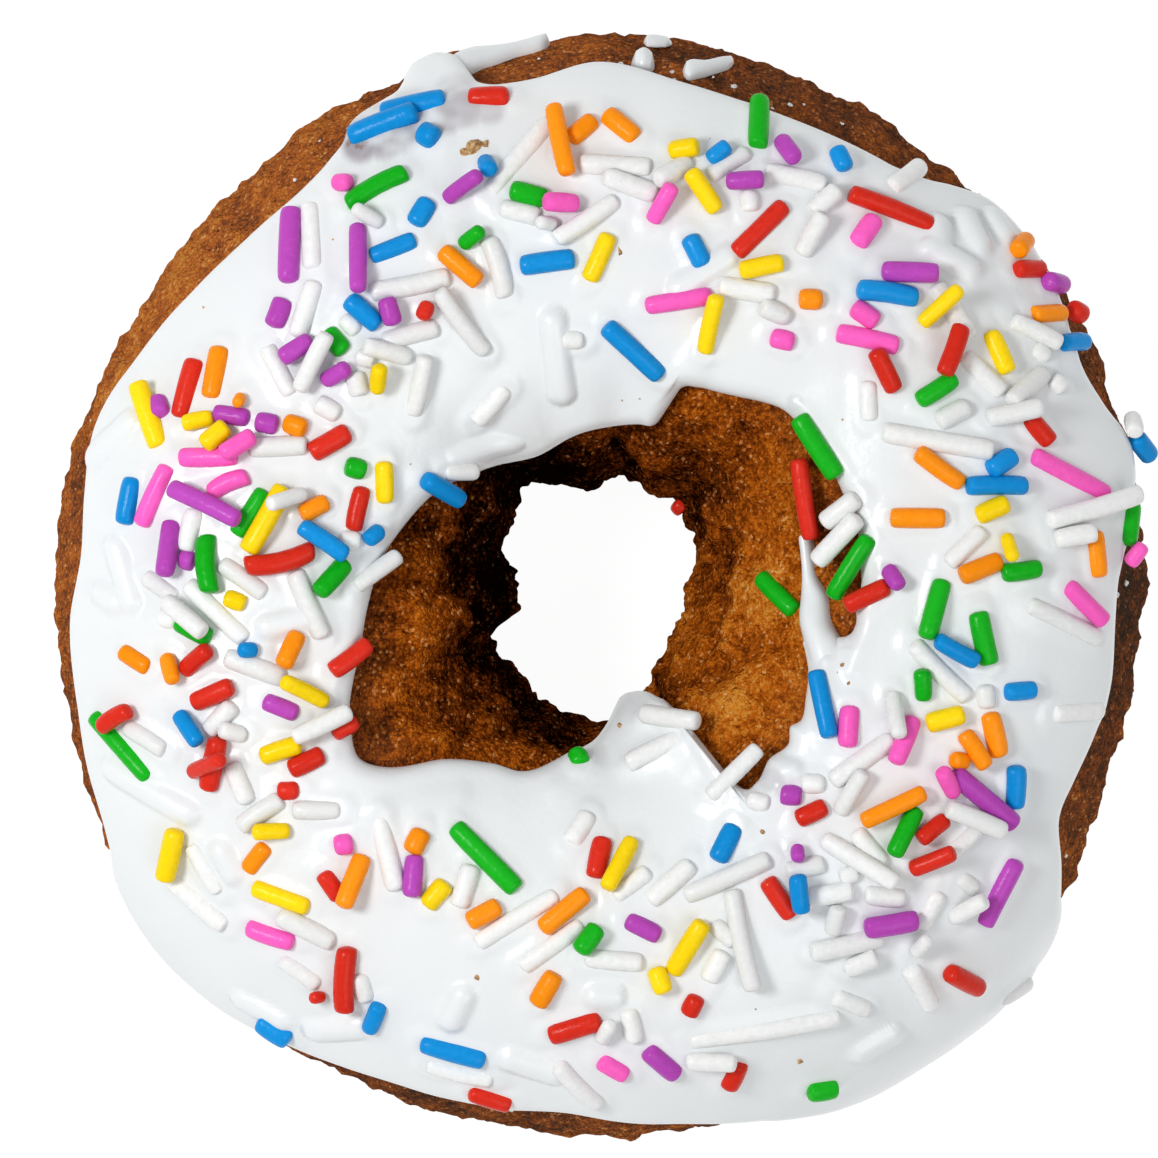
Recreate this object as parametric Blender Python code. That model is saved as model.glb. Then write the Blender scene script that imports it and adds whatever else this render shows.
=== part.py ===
"""A sprinkle frosted ring doughnut: a fried cake ring, and the icing on it with its sprinkles.

Lengths are in metres unless a name says MM. A place on the ring is given by two angles in degrees:
the clock, which runs round the ring anticlockwise from +X as seen from above, and the section,
which runs round the dough's own thickness from the outer side (0) over the crown (90) to the hole (180).
"""

import math

import bmesh
import bpy
import numpy as np
from mathutils import Vector
from mathutils.bvhtree import BVHTree

MM = 0.001

# The cake ring. Stations are (clock in degrees, distance from the middle in mm).
RIM_STATIONS_MM = [
    (0, 43.2), (14, 42.9), (24, 43.1), (41, 43.1), (49, 42.7), (56, 42.8), (64, 42.9), (73, 43.1),
    (86, 43.4), (94, 43.2), (98.5, 42.8), (102, 43.0), (105.5, 43.6), (109, 43.4), (112, 42.7),
    (119, 42.9), (124, 42.9), (132, 42.3), (150, 42.2), (162, 42.7), (185, 42.8), (197, 43.1),
    (209, 43.7), (245, 43.7), (256, 43.5), (268, 43.5), (282, 43.8), (305, 43.5), (327, 43.7),
    (333, 43.0), (338, 42.8), (354, 42.8),
]
HOLE_STATIONS_MM = [
    (0, 7.1), (10, 7.8), (20, 8.1), (28, 8.6), (37, 8.5), (45, 9.0), (57, 8.5), (68, 8.3), (77, 8.7),
    (84, 9.0), (94, 7.9), (105, 8.4), (118, 9.2), (129, 10.0), (139, 9.4), (147, 9.1), (155, 8.8),
    (163, 8.4), (171, 7.2), (180, 7.0), (197, 7.3), (203, 8.7), (208, 9.6), (228, 9.8), (240, 10.3),
    (252, 10.3), (266, 11.0), (280, 10.4), (298, 9.2), (301, 7.8), (313, 7.5), (325, 6.8), (343, 6.8),
]
BELT_HEIGHT = 0.0130
CROWN_RISE = 0.0150
BASE_RISE = 0.0140
CAKE_STEPS_ROUND = 60
CAKE_STEPS_ACROSS = 24
CRAG_SIZE = 0.0045
CRAG_DEPTH = 0.0007
CRAG_FADE_DEGREES = 12
FLAT_BASE_DEGREES = 15
CRUST_COLOUR = (0.28, 0.12, 0.04)

# The icing. Its edges are where they show from above, and a reach past the cake hangs down its side.
OUTER_EDGE_STATIONS_MM = [
    (0, 40.3), (3, 40.8), (6, 41.6), (9, 42.2), (13, 42.7), (17, 42.4), (20, 41.7), (25, 41.3),
    (33, 42.3), (40, 42.9), (45, 42.7), (49, 41.4), (52, 40.2), (56, 39.6), (70, 39.0), (80, 39.4),
    (90, 40.6), (98, 39.6), (103.5, 40.4), (105.3, 43.3), (109, 43.7), (111, 43.1), (113, 41.9),
    (118.5, 41.2), (121, 39.5), (126, 38.4), (135, 38.4), (143, 38.9), (149, 39.7), (155, 40.5),
    (162, 41.3), (170, 40.8), (177, 40.5), (184, 41.4), (193, 41.8), (198, 42.2), (203, 42.7),
    (207, 43.4), (211, 44.1), (221, 44.5), (230, 44.1), (237, 43.4), (246, 42.3), (254, 41.8),
    (260, 41.5), (266, 41.2), (271, 41.8), (278, 42.6), (285, 43.6), (292, 44.4), (300, 45.0),
    (312, 44.9), (319, 45.5), (325, 44.2), (329, 42.1), (333, 40.2), (337, 40.0), (342, 40.2),
    (348, 40.5), (355, 40.2),
]
INNER_EDGE_STATIONS_MM = [
    (0, 20.5), (6, 20.4), (12, 20.6), (20, 20.3), (25, 20.2), (32, 19.9), (40, 19.9), (44, 19.7),
    (48, 19.1), (53, 18.3), (58, 17.7), (64, 17.2), (67.5, 16.6), (69, 14.8), (70.5, 13.3), (76, 12.9),
    (85, 12.4), (95, 12.0), (113, 11.1), (125, 11.6), (138, 12.9), (150, 14.6), (163, 16.0),
    (173, 17.2), (184, 18.2), (195, 19.5), (201, 20.7), (206, 21.8), (211, 22.7), (216, 23.2),
    (221, 21.8), (228, 18.4), (238, 16.4), (248, 15.7), (258, 13.6), (266, 12.4), (271, 11.2),
    (276, 10.0), (282, 9.6), (289, 9.6), (294, 9.9), (299, 10.8), (301.5, 12.0), (303, 15.6),
    (304.4, 19.2), (308, 19.8), (314, 19.1), (319.5, 19.4), (323, 18.7), (326, 19.1), (331, 18.5),
    (337.5, 17.7), (342, 16.9), (344.5, 16.6), (346.5, 17.8), (348, 19.7), (351, 20.3), (355, 20.2),
]
GAP = 0.0006
ICING_THICKNESS = 0.0016
LIP_DEGREES = 6.0
HANG_DEGREES_PER_MM = 7.0
WAVE_SIZE = 0.0085
WAVE_HEIGHT = 0.00035
ICING_STEPS_ROUND = 90
ICING_STEPS_ACROSS = 20
LIP_CLOSENESS = 0.05
ICING_COLOUR = (0.85, 0.86, 0.87)

# Threads of icing, as (clock, reach in mm) stations: one past the gap beside the hole, one on the rim.
THREADS_MM = {
    "beside_the_hole": [
        (32, 20.4), (22, 17.4), (12, 16.4), (3, 16.2), (-6, 16.7), (-15, 17.8), (-23, 20.0),
    ],
    "on_the_rim": [(114, 40.6), (108, 41.6), (102, 42.2), (96, 42.4)],
}
THREAD_RADIUS = 0.00075

# The sprinkles. Each is its two ends as seen from straight above, in steps right and down from the view's
# corner, and a coated one lies under the icing. A higher place is nearer the eye and looks farther out.
SEEN_STEP_MM = 0.0789
STEP_HEIGHT = 0.014
EYE_HEIGHT = 0.80
VIEW_MIDDLE_SEEN = (579, 579)
RING_MIDDLE_SEEN = (600, 584)
SPRINKLES_SEEN = [
    ("coated", [
        (967, 219, 973, 246), (930, 251, 968, 268), (992, 219, 1000, 238), (938, 226, 935, 246),
        (90, 452, 139, 427), (114, 547, 136, 600), (103, 594, 119, 601), (107, 775, 195, 806),
        (222, 851, 234, 872), (316, 1034, 361, 1018), (244, 1001, 286, 1013), (511, 1056, 554, 1072),
        (463, 995, 452, 1019), (443, 446, 523, 443), (553, 320, 562, 394), (680, 288, 727, 257),
        (858, 1048, 890, 1033), (596, 996, 615, 996), (268, 627, 307, 618), (776, 768, 792, 772),
    ]),
    ("white", [
        (305, 202, 315, 269), (314, 281, 298, 337), (266, 347, 291, 394), (355, 373, 360, 395),
        (639, 700, 698, 728), (627, 762, 692, 732),
        (343, 318, 357, 332), (371, 292, 449, 277), (383, 342, 438, 328), (363, 345, 411, 358),
        (357, 357, 375, 361), (424, 355, 414, 416), (317, 403, 338, 415), (250, 447, 306, 445),
        (341, 541, 361, 541), (356, 586, 403, 556), (195, 509, 184, 550), (220, 563, 264, 594),
        (142, 577, 177, 598), (186, 584, 245, 640), (296, 572, 324, 637), (225, 657, 283, 678),
        (122, 730, 166, 749), (233, 705, 207, 732), (221, 728, 246, 736), (231, 765, 246, 803),
        (442, 469, 480, 476), (505, 386, 478, 425), (856, 498, 821, 524), (893, 738, 832, 782),
        (802, 783, 823, 783), (864, 771, 838, 814), (884, 432, 994, 450), (938, 422, 969, 406),
        (868, 382, 869, 420), (984, 530, 949, 564), (1025, 606, 1108, 638), (914, 644, 968, 698),
        (986, 686, 988, 708), (1050, 711, 1109, 714), (947, 857, 982, 830), (960, 878, 978, 892),
        (979, 891, 951, 922), (856, 832, 884, 865), (841, 878, 858, 873), (809, 898, 853, 890),
        (866, 894, 905, 900), (838, 906, 834, 935), (811, 950, 884, 940), (846, 971, 876, 956),
        (940, 892, 922, 930), (920, 928, 917, 958), (907, 966, 937, 1013), (997, 980, 1033, 1001),
        (835, 995, 869, 1015), (691, 1041, 841, 1025), (787, 872, 824, 864), (191, 846, 216, 893),
        (168, 884, 226, 924), (240, 827, 281, 799), (293, 810, 340, 810), (378, 815, 396, 889),
        (359, 974, 364, 1002), (281, 961, 318, 985), (471, 865, 459, 906), (477, 943, 557, 895),
        (522, 967, 582, 924), (586, 958, 642, 963), (571, 843, 588, 812), (614, 897, 648, 870),
        (650, 901, 691, 863), (714, 924, 734, 944), (723, 952, 708, 981), (732, 890, 753, 989),
        (685, 896, 769, 859), (748, 799, 768, 803), (628, 1010, 635, 1043), (428, 1067, 492, 1080),
        (560, 1060, 595, 1112), (491, 194, 547, 117), (501, 207, 539, 217), (536, 224, 557, 224),
        (556, 240, 616, 199), (580, 162, 650, 166), (604, 177, 656, 194), (656, 186, 690, 160),
        (709, 178, 748, 149), (749, 190, 750, 210), (766, 172, 826, 182), (837, 190, 812, 212),
        (823, 216, 801, 255), (720, 286, 774, 294), (761, 306, 788, 318), (487, 238, 504, 297),
        (439, 290, 487, 354), (562, 341, 583, 341), (889, 193, 925, 158), (1034, 349, 1049, 356),
        (937, 284, 971, 337), (964, 356, 1004, 391), (1004, 405, 1050, 371), (1053, 379, 1065, 388),
    ]),
    ("green", [
        (347, 203, 405, 171), (326, 331, 344, 352), (347, 466, 366, 471), (317, 593, 348, 562),
        (264, 491, 236, 534), (206, 535, 213, 592), (175, 622, 209, 638), (83, 722, 153, 774),
        (577, 748, 580, 766), (797, 418, 835, 477), (869, 538, 829, 597), (1140, 504, 1123, 543),
        (1004, 573, 1043, 568), (943, 580, 926, 638), (979, 613, 991, 664), (921, 670, 924, 700),
        (918, 809, 893, 855), (809, 1088, 837, 1094), (455, 825, 516, 889), (579, 951, 598, 926),
        (511, 189, 546, 198), (763, 91, 756, 149), (460, 246, 484, 231), (919, 401, 956, 377),
    ]),
    ("pink", [
        (334, 180, 352, 186), (178, 456, 236, 456), (226, 456, 257, 436), (208, 494, 247, 477),
        (137, 524, 167, 467), (849, 706, 847, 746), (914, 717, 894, 763), (1029, 460, 1117, 488),
        (1138, 545, 1126, 565), (1065, 587, 1108, 620), (245, 931, 293, 941), (335, 846, 352, 843),
        (601, 1060, 625, 1079), (544, 205, 579, 204), (673, 187, 651, 223), (771, 338, 793, 343),
        (877, 216, 857, 244), (854, 306, 877, 322), (838, 333, 898, 346),
    ]),
    ("red", [
        (192, 359, 180, 417), (312, 453, 349, 432), (364, 488, 355, 530), (246, 565, 314, 549),
        (333, 671, 371, 643), (191, 703, 232, 686), (181, 672, 213, 648), (104, 726, 139, 709),
        (221, 738, 207, 790), (186, 775, 236, 753), (334, 733, 357, 720), (290, 770, 323, 754),
        (799, 460, 808, 540), (845, 606, 887, 586), (1029, 417, 1053, 441), (910, 871, 952, 849),
        (920, 840, 948, 820), (946, 967, 985, 997), (797, 819, 825, 806), (767, 880, 792, 917),
        (278, 791, 298, 790), (322, 874, 339, 899), (350, 946, 344, 1011), (313, 991, 326, 997),
        (603, 836, 595, 877), (550, 1038, 600, 1020), (697, 997, 689, 1016), (470, 1092, 509, 1108),
        (738, 1061, 731, 1092), (469, 94, 508, 97), (736, 253, 785, 203), (429, 303, 422, 319),
        (848, 199, 935, 219), (1014, 274, 1047, 263), (1069, 312, 1087, 311), (959, 328, 940, 376),
        (874, 351, 895, 391),
    ]),
    ("blue", [
        (371, 256, 414, 239), (348, 299, 378, 326), (428, 199, 414, 224), (366, 540, 383, 530),
        (300, 526, 346, 556), (122, 523, 131, 478), (239, 650, 257, 650), (177, 713, 204, 742),
        (421, 477, 467, 504), (813, 670, 829, 736), (989, 471, 1016, 455), (966, 487, 1029, 485),
        (1128, 444, 1156, 450), (935, 639, 977, 662), (1006, 692, 1038, 691), (1016, 767, 1019, 809),
        (796, 873, 801, 911), (380, 1004, 367, 1034), (258, 1022, 290, 1039), (734, 825, 717, 860),
        (421, 1045, 484, 1062), (380, 107, 445, 102), (348, 132, 418, 117), (420, 128, 436, 140),
        (484, 157, 492, 178), (709, 160, 728, 146), (689, 236, 703, 265), (521, 266, 574, 259),
        (607, 326, 659, 381), (839, 146, 845, 169), (1058, 347, 1093, 337), (857, 291, 918, 296),
    ]),
    ("purple", [
        (287, 207, 292, 283), (356, 222, 362, 296), (282, 299, 273, 326), (283, 360, 313, 341),
        (322, 382, 350, 367), (387, 299, 394, 325), (154, 398, 165, 415), (213, 412, 248, 418),
        (256, 421, 277, 425), (171, 488, 244, 521), (179, 558, 194, 562), (169, 520, 171, 577),
        (264, 701, 297, 714), (886, 567, 901, 588), (953, 773, 1018, 826), (1016, 861, 990, 928),
        (864, 926, 917, 920), (781, 794, 800, 796), (797, 845, 798, 861), (415, 856, 412, 896),
        (627, 920, 659, 936), (648, 1049, 676, 1080), (443, 200, 485, 180), (726, 183, 762, 183),
        (782, 135, 792, 166), (1039, 289, 1069, 279), (881, 272, 936, 275),
    ]),
    ("orange", [
        (217, 346, 211, 397), (241, 394, 240, 408), (285, 422, 306, 429), (302, 515, 328, 502),
        (299, 633, 283, 667), (117, 653, 149, 667), (164, 655, 179, 682), (891, 518, 944, 518),
        (917, 452, 963, 484), (1096, 532, 1102, 576), (961, 576, 1002, 560), (951, 759, 969, 763),
        (964, 733, 986, 767), (990, 714, 1002, 757), (862, 821, 924, 792), (266, 846, 246, 871),
        (363, 855, 344, 906), (423, 830, 412, 852), (469, 922, 499, 905), (542, 929, 586, 892),
        (555, 974, 537, 1006), (570, 139, 593, 116), (554, 107, 568, 181), (607, 110, 635, 138),
        (442, 250, 479, 283), (800, 299, 822, 299), (1032, 236, 1012, 255), (1030, 319, 1070, 307),
    ]),
    ("yellow", [
        (379, 363, 377, 394), (135, 384, 163, 446), (184, 424, 213, 418), (206, 446, 229, 427),
        (384, 463, 387, 503), (284, 487, 248, 551), (225, 597, 244, 604), (280, 680, 330, 704),
        (261, 757, 300, 744), (978, 516, 1008, 503), (1007, 532, 1008, 563), (928, 724, 964, 714),
        (183, 827, 166, 877), (254, 831, 290, 831), (251, 890, 308, 907), (446, 883, 427, 906),
        (632, 836, 607, 891), (703, 921, 672, 974), (655, 968, 664, 992), (669, 150, 698, 149),
        (689, 173, 717, 211), (740, 271, 783, 262), (718, 294, 704, 354), (609, 235, 589, 280),
        (919, 326, 957, 291), (992, 331, 1008, 372),
    ]),
    ("pink", [(646, 307, 711, 296), (938, 768, 957, 797)]),
    ("white", [
        (355, 212, 384, 226), (330, 336, 300, 392), (266, 506, 309, 492), (293, 738, 350, 711),
        (168, 600, 212, 632), (158, 618, 177, 620), (1009, 325, 1060, 341), (985, 419, 1039, 408),
        (1119, 434, 1140, 418), (1040, 521, 1138, 495), (1053, 540, 1093, 533), (892, 690, 899, 739),
        (943, 805, 1001, 830), (822, 838, 895, 882), (611, 1013, 601, 1044), (686, 1060, 735, 1059),
        (278, 916, 333, 943), (859, 518, 813, 562),
    ]),
]
SPRINKLE_RADIUS = 0.00081
SUNK_SHARE = 0.33
COATED_SUNK_SHARE = 0.6
LARGEST_KEPT = 160
SPRINKLE_SIDES = 6
CLEAR_ABOVE = 0.006


def closed_curve(stations):
    """The smooth closed curve through (clock, value) stations: cubic pieces whose slope at a station
    is the one between its two neighbours."""
    clocks, values = np.array(sorted(stations), float).T
    after, before = np.roll(clocks, -1), np.roll(clocks, 1)
    slopes = (np.roll(values, -1) - np.roll(values, 1)) / ((after - before) % 360)

    def at(clock):
        clock = np.asarray(clock, float) % 360
        here = (np.searchsorted(clocks, clock, side="right") - 1) % len(clocks)
        there = (here + 1) % len(clocks)
        span = (clocks[there] - clocks[here]) % 360
        t = ((clock - clocks[here]) % 360) / span
        near, far = 1 - 3 * t**2 + 2 * t**3, 3 * t**2 - 2 * t**3
        leave, arrive = (t - 2 * t**2 + t**3) * span, (t**3 - t**2) * span
        return near * values[here] + far * values[there] + leave * slopes[here] + arrive * slopes[there]

    return at


def soft_noise(points, size, seed):
    """Smooth random heights from -1 to 1 at points: the corners of a lattice of cells of that size
    hold seeded values, and a point blends its cell's eight corners."""
    lattice = np.random.default_rng(seed).uniform(-1, 1, (16, 16, 16))
    cell = np.floor(points / size).astype(int)
    part = points / size - cell
    part = part * part * (3 - 2 * part)
    height = np.zeros(len(points))
    for corner in np.ndindex(2, 2, 2):
        share = np.where(corner, part, 1 - part).prod(axis=1)
        height += share * lattice[tuple(((cell + corner) % 16).T)]
    return height


rim_mm = closed_curve(RIM_STATIONS_MM)
hole_mm = closed_curve(HOLE_STATIONS_MM)
outer_edge_mm = closed_curve(OUTER_EDGE_STATIONS_MM)
inner_edge_mm = closed_curve(INNER_EDGE_STATIONS_MM)


def tube(clock):
    """The dough's middle radius and half width at a clock."""
    rim, hole = rim_mm(clock) * MM, hole_mm(clock) * MM
    return (rim + hole) / 2, (rim - hole) / 2


def outward(clock, section):
    """The cake's outward direction, that of an ellipse's normal in the plane of the section."""
    half = tube(clock)[1]
    section = np.radians(section)
    rise = np.where(np.sin(section) > 0, CROWN_RISE, BASE_RISE)
    along, up = np.cos(section) / half, np.sin(section) / rise
    size = np.hypot(along, up)
    turn = np.radians(clock)
    return np.stack([along * np.cos(turn), along * np.sin(turn), up], axis=-1) / size[..., None]


def cake_point(clock, section, lift=0.0):
    """The point on the cake at a clock and a section, moved outward by lift: an ellipse on the tube's
    middle line, taller above the belt than below it."""
    middle, half = tube(clock)
    turn, tilt = np.radians(clock), np.radians(section)
    rise = np.where(np.sin(tilt) > 0, CROWN_RISE, BASE_RISE)
    reach = middle + half * np.cos(tilt)
    on_cake = np.stack([reach * np.cos(turn), reach * np.sin(turn), BELT_HEIGHT + rise * np.sin(tilt)], -1)
    return on_cake + outward(clock, section) * np.asarray(lift)[..., None]


def section_at(clock, reach_mm, lift=0.0):
    """The section angle whose point, lifted, is that far from the middle as seen from above."""
    middle, half = tube(clock)
    return np.degrees(np.arccos(np.clip((reach_mm * MM - middle) / (half + lift), -1, 1)))


def icing_edges(clock):
    """The section angles of the icing's outer and inner edge. A lip is a quarter round, which shows from
    above one thickness past its centre line, and what reaches past the cake hangs down it."""
    thickness_mm = ICING_THICKNESS / MM
    outer = section_at(clock, outer_edge_mm(clock) - thickness_mm, GAP) - LIP_DEGREES
    inner = section_at(clock, inner_edge_mm(clock) + thickness_mm, GAP) + LIP_DEGREES
    hang = np.clip(outer_edge_mm(clock) - rim_mm(clock), 0, None) * HANG_DEGREES_PER_MM
    return outer - hang, inner


def icing_lift(clock, section):
    """How high the icing's top lies above the cake: full inside, round over the lip, with low waves."""
    outer, inner = icing_edges(clock)
    inside = np.clip(np.minimum(section - outer, inner - section) / LIP_DEGREES, 0, 1)
    lip = np.sqrt(1 - (1 - inside) ** 2)
    waves = soft_noise(cake_point(clock, section), WAVE_SIZE, seed=3) * WAVE_HEIGHT
    return GAP + (ICING_THICKNESS + waves) * lip


def finish(obj, name, colour, roughness, specular):
    """Names an object and gives it a material of its own."""
    obj.name = name
    material = bpy.data.materials.new(name)
    material.use_nodes = True
    shader = material.node_tree.nodes["Principled BSDF"]
    shader.inputs["Base Color"].default_value = (*colour, 1)
    shader.inputs["Roughness"].default_value = roughness
    shader.inputs["Specular IOR Level"].default_value = specular
    shader.inputs["Metallic"].default_value = 0.0
    obj.data.materials.clear()
    obj.data.materials.append(material)
    obj.data.shade_smooth()
    obj.data.set_sharp_from_angle(angle=math.radians(45))


def torus(steps_round, steps_across):
    """A torus primitive, and the clock and section angles of its points."""
    bpy.ops.mesh.primitive_torus_add(
        major_segments=steps_round, minor_segments=steps_across, major_radius=1.0, minor_radius=0.5
    )
    obj = bpy.context.object
    points = np.empty(len(obj.data.vertices) * 3, np.float32)
    obj.data.vertices.foreach_get("co", points)
    x, y, z = points.reshape(-1, 3).astype(float).T
    return obj, np.degrees(np.arctan2(y, x)), np.degrees(np.arctan2(z, np.hypot(x, y) - 1))


def move_points(obj, points):
    obj.data.vertices.foreach_set("co", points.astype(np.float32).ravel())
    obj.data.update()


def make_cake(collection):
    """The ring: a torus reshaped to the cake's section, craggy where it is bare, flat where it stands."""
    obj, clock, section = torus(CAKE_STEPS_ROUND, CAKE_STEPS_ACROSS)
    outer, inner = icing_edges(clock)
    bare = np.clip(np.maximum(outer - section, section - inner) / CRAG_FADE_DEGREES, 0, 1)
    off_base = np.clip(np.abs(section + 90) / FLAT_BASE_DEGREES - 1, 0, 1)
    crags = soft_noise(cake_point(clock, section), CRAG_SIZE, seed=7) * CRAG_DEPTH * bare * off_base
    points = cake_point(clock, section, crags)
    points[:, 2] = np.clip(points[:, 2], 0, None)
    move_points(obj, points)
    finish(obj, "cake_ring", CRUST_COLOUR, roughness=0.75, specular=0.3)
    gather(obj, collection)


def make_icing(collection):
    """The icing: a torus flattened to a band, its upper half the top and its lower half the underside.
    Both have closer steps near the lips, and are split into triangles alike."""
    obj, clock, band = torus(ICING_STEPS_ROUND, ICING_STEPS_ACROSS)
    outer, inner = icing_edges(clock)
    across = np.abs(band) / 180
    across = across - LIP_CLOSENESS * np.sin(2 * np.pi * across)
    section = outer + (inner - outer) * across
    lift = np.where(band > 0, icing_lift(clock, section), GAP)
    move_points(obj, cake_point(clock, section, lift))
    split_alike(obj.data)
    gather(obj, collection)
    return obj


def split_alike(mesh):
    """Splits every four-sided face along its shorter diagonal."""
    work = bmesh.new()
    work.from_mesh(mesh)
    bmesh.ops.triangulate(work, faces=work.faces, quad_method="SHORT_EDGE")
    work.to_mesh(mesh)
    work.free()


def make_thread(stations, collection):
    """A thread of icing on the cake: a tube through its stations."""
    clock, reach_mm = np.array(stations, float).T
    steps = np.linspace(0, len(stations) - 1, 3 * len(stations))
    clock = np.interp(steps, range(len(stations)), clock)
    reach_mm = np.interp(steps, range(len(stations)), reach_mm)
    lift = GAP + THREAD_RADIUS
    line = cake_point(clock, section_at(clock, reach_mm, lift), lift)
    curve = bpy.data.curves.new("thread", "CURVE")
    curve.dimensions = "3D"
    curve.bevel_depth = THREAD_RADIUS
    curve.bevel_resolution = 1
    curve.use_fill_caps = True
    spline = curve.splines.new("POLY")
    spline.points.add(len(line) - 1)
    for point, place in zip(spline.points, line):
        point.co = (*place, 1)
    guide = bpy.data.objects.new("thread_guide", curve)
    collection.objects.link(guide)
    bpy.context.view_layer.update()
    evaluated = guide.evaluated_get(bpy.context.evaluated_depsgraph_get())
    mesh = bpy.data.meshes.new_from_object(evaluated)
    weld(mesh)
    obj = bpy.data.objects.new("thread", mesh)
    obj.matrix_world = guide.matrix_world
    collection.objects.link(obj)
    bpy.data.objects.remove(guide)


def weld(mesh):
    """Closes the caps of a tube made from a curve."""
    work = bmesh.new()
    work.from_mesh(mesh)
    bmesh.ops.remove_doubles(work, verts=work.verts, dist=0.00001)
    work.to_mesh(mesh)
    work.free()


def plan_seen(seen):
    """The places in mm from the ring's middle, right and up, of places on the icing that are seen there.
    A place's height sets its distance from the eye, so both are found by going round a few times."""
    lift = GAP + ICING_THICKNESS
    eye = np.subtract(VIEW_MIDDLE_SEEN, RING_MIDDLE_SEEN) * SEEN_STEP_MM * [1, -1]
    from_eye = (seen - VIEW_MIDDLE_SEEN) * SEEN_STEP_MM * [1, -1]
    height = np.full(len(seen), STEP_HEIGHT)
    for _ in range(4):
        plan = eye + from_eye * ((EYE_HEIGHT - height) / (EYE_HEIGHT - STEP_HEIGHT))[:, None]
        clock, reach_mm = clock_and_reach(plan)
        height = cake_point(clock, section_at(clock, reach_mm, lift), lift)[:, 2]
    return plan


def clock_and_reach(plan):
    """The clock and reach in mm of places in mm from the ring's middle."""
    return np.degrees(np.arctan2(plan[..., 1], plan[..., 0])), np.hypot(plan[..., 0], plan[..., 1])


def all_sprinkles():
    """Every sprinkle as (colour, clock, reach in mm, heading, length in mm). A heading is as a clock."""
    rows = []
    for colour, ends in SPRINKLES_SEEN:
        first, last = plan_seen(np.array(ends)[:, :2]), plan_seen(np.array(ends)[:, 2:])
        clock, reach_mm = clock_and_reach((first + last) / 2)
        heading, length_mm = clock_and_reach(last - first)
        rows += zip([colour] * len(ends), clock, reach_mm, heading, length_mm)
    return rows


def make_sprinkle(row, icing_surface, collection):
    """One sprinkle: a six-sided rod along its heading, part sunk in the icing. One that reaches past
    a lip lies as high as the icing just inside the lip."""
    colour, clock, reach_mm, heading, length_mm = row
    sunk_share = COATED_SUNK_SHARE if colour == "coated" else SUNK_SHARE
    section = section_at(clock, reach_mm, GAP + ICING_THICKNESS)
    outer, inner = icing_edges(clock)
    inside = np.clip(section, outer + LIP_DEGREES, inner - LIP_DEGREES)
    above = Vector(cake_point(clock, inside, CLEAR_ABOVE))
    fall = icing_surface.ray_cast(above, -Vector(outward(clock, inside)))[3]
    lift = CLEAR_ABOVE - fall + SPRINKLE_RADIUS * (1 - 2 * sunk_share)
    normal = Vector(outward(clock, section))
    flat = Vector((math.cos(math.radians(heading)), math.sin(math.radians(heading)), 0))
    axis = flat - normal * flat.dot(normal)
    bpy.ops.mesh.primitive_cylinder_add(
        vertices=SPRINKLE_SIDES, radius=SPRINKLE_RADIUS, depth=length_mm * MM
    )
    rod = bpy.context.object
    rod.location = cake_point(clock, section, lift)
    rod.rotation_mode = "QUATERNION"
    rod.rotation_quaternion = axis.to_track_quat("Z", "Y")
    gather(rod, collection)


def gather(obj, collection):
    """Moves an object into a collection."""
    for other in list(obj.users_collection):
        other.objects.unlink(obj)
    collection.objects.link(obj)


def fuse(obj, collection):
    """Joins all of a collection to an object with one Boolean, then removes the collection's objects."""
    joined = obj.modifiers.new("fused", "BOOLEAN")
    joined.operation = "UNION"
    joined.operand_type = "COLLECTION"
    joined.collection = collection
    joined.solver = "EXACT"
    bpy.context.view_layer.update()
    evaluated = obj.evaluated_get(bpy.context.evaluated_depsgraph_get())
    whole = bpy.data.meshes.new_from_object(evaluated)
    obj.modifiers.clear()
    obj.data = whole
    for piece in list(collection.objects):
        bpy.data.objects.remove(piece)


def keep_largest_shell(mesh):
    """Fills the hollows that the fusing sealed and drops its loose scraps."""
    work = bmesh.new()
    work.from_mesh(mesh)
    left = set(work.verts)
    largest = set()
    while left:
        front = [left.pop()]
        shell = set(front)
        while front:
            for edge in front.pop().link_edges:
                fresh = set(edge.verts) - shell
                shell |= fresh
                front += fresh
        left -= shell
        largest = max(largest, shell, key=len)
    bmesh.ops.delete(work, geom=[vert for vert in work.verts if vert not in largest], context="VERTS")
    work.to_mesh(mesh)
    work.free()


def new_collection(name):
    collection = bpy.data.collections.new(name)
    bpy.context.scene.collection.children.link(collection)
    return collection


def main():
    for obj in list(bpy.data.objects):
        bpy.data.objects.remove(obj)
    doughnut = new_collection("doughnut")
    toppings = new_collection("toppings")
    make_cake(doughnut)
    icing = make_icing(doughnut)
    icing_surface = BVHTree.FromObject(icing, bpy.context.evaluated_depsgraph_get())
    for stations in THREADS_MM.values():
        make_thread(stations, toppings)
    largest = sorted(all_sprinkles(), key=lambda row: row[4], reverse=True)[:LARGEST_KEPT]
    for row in largest:
        make_sprinkle(row, icing_surface, toppings)
    fuse(icing, toppings)
    keep_largest_shell(icing.data)
    finish(icing, "icing_with_sprinkles", ICING_COLOUR, roughness=0.3, specular=0.5)


main()
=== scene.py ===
"""A sprinkle frosted ring doughnut, seen from straight above on a white table.

Lengths are in metres unless a name says MM. A place on the ring is given by two angles in degrees:
the clock, which runs round the ring anticlockwise from +X as seen from above, and the section,
which runs round the dough's own thickness from the outer side (0) over the crown (90) to the hole (180).
"""

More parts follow.
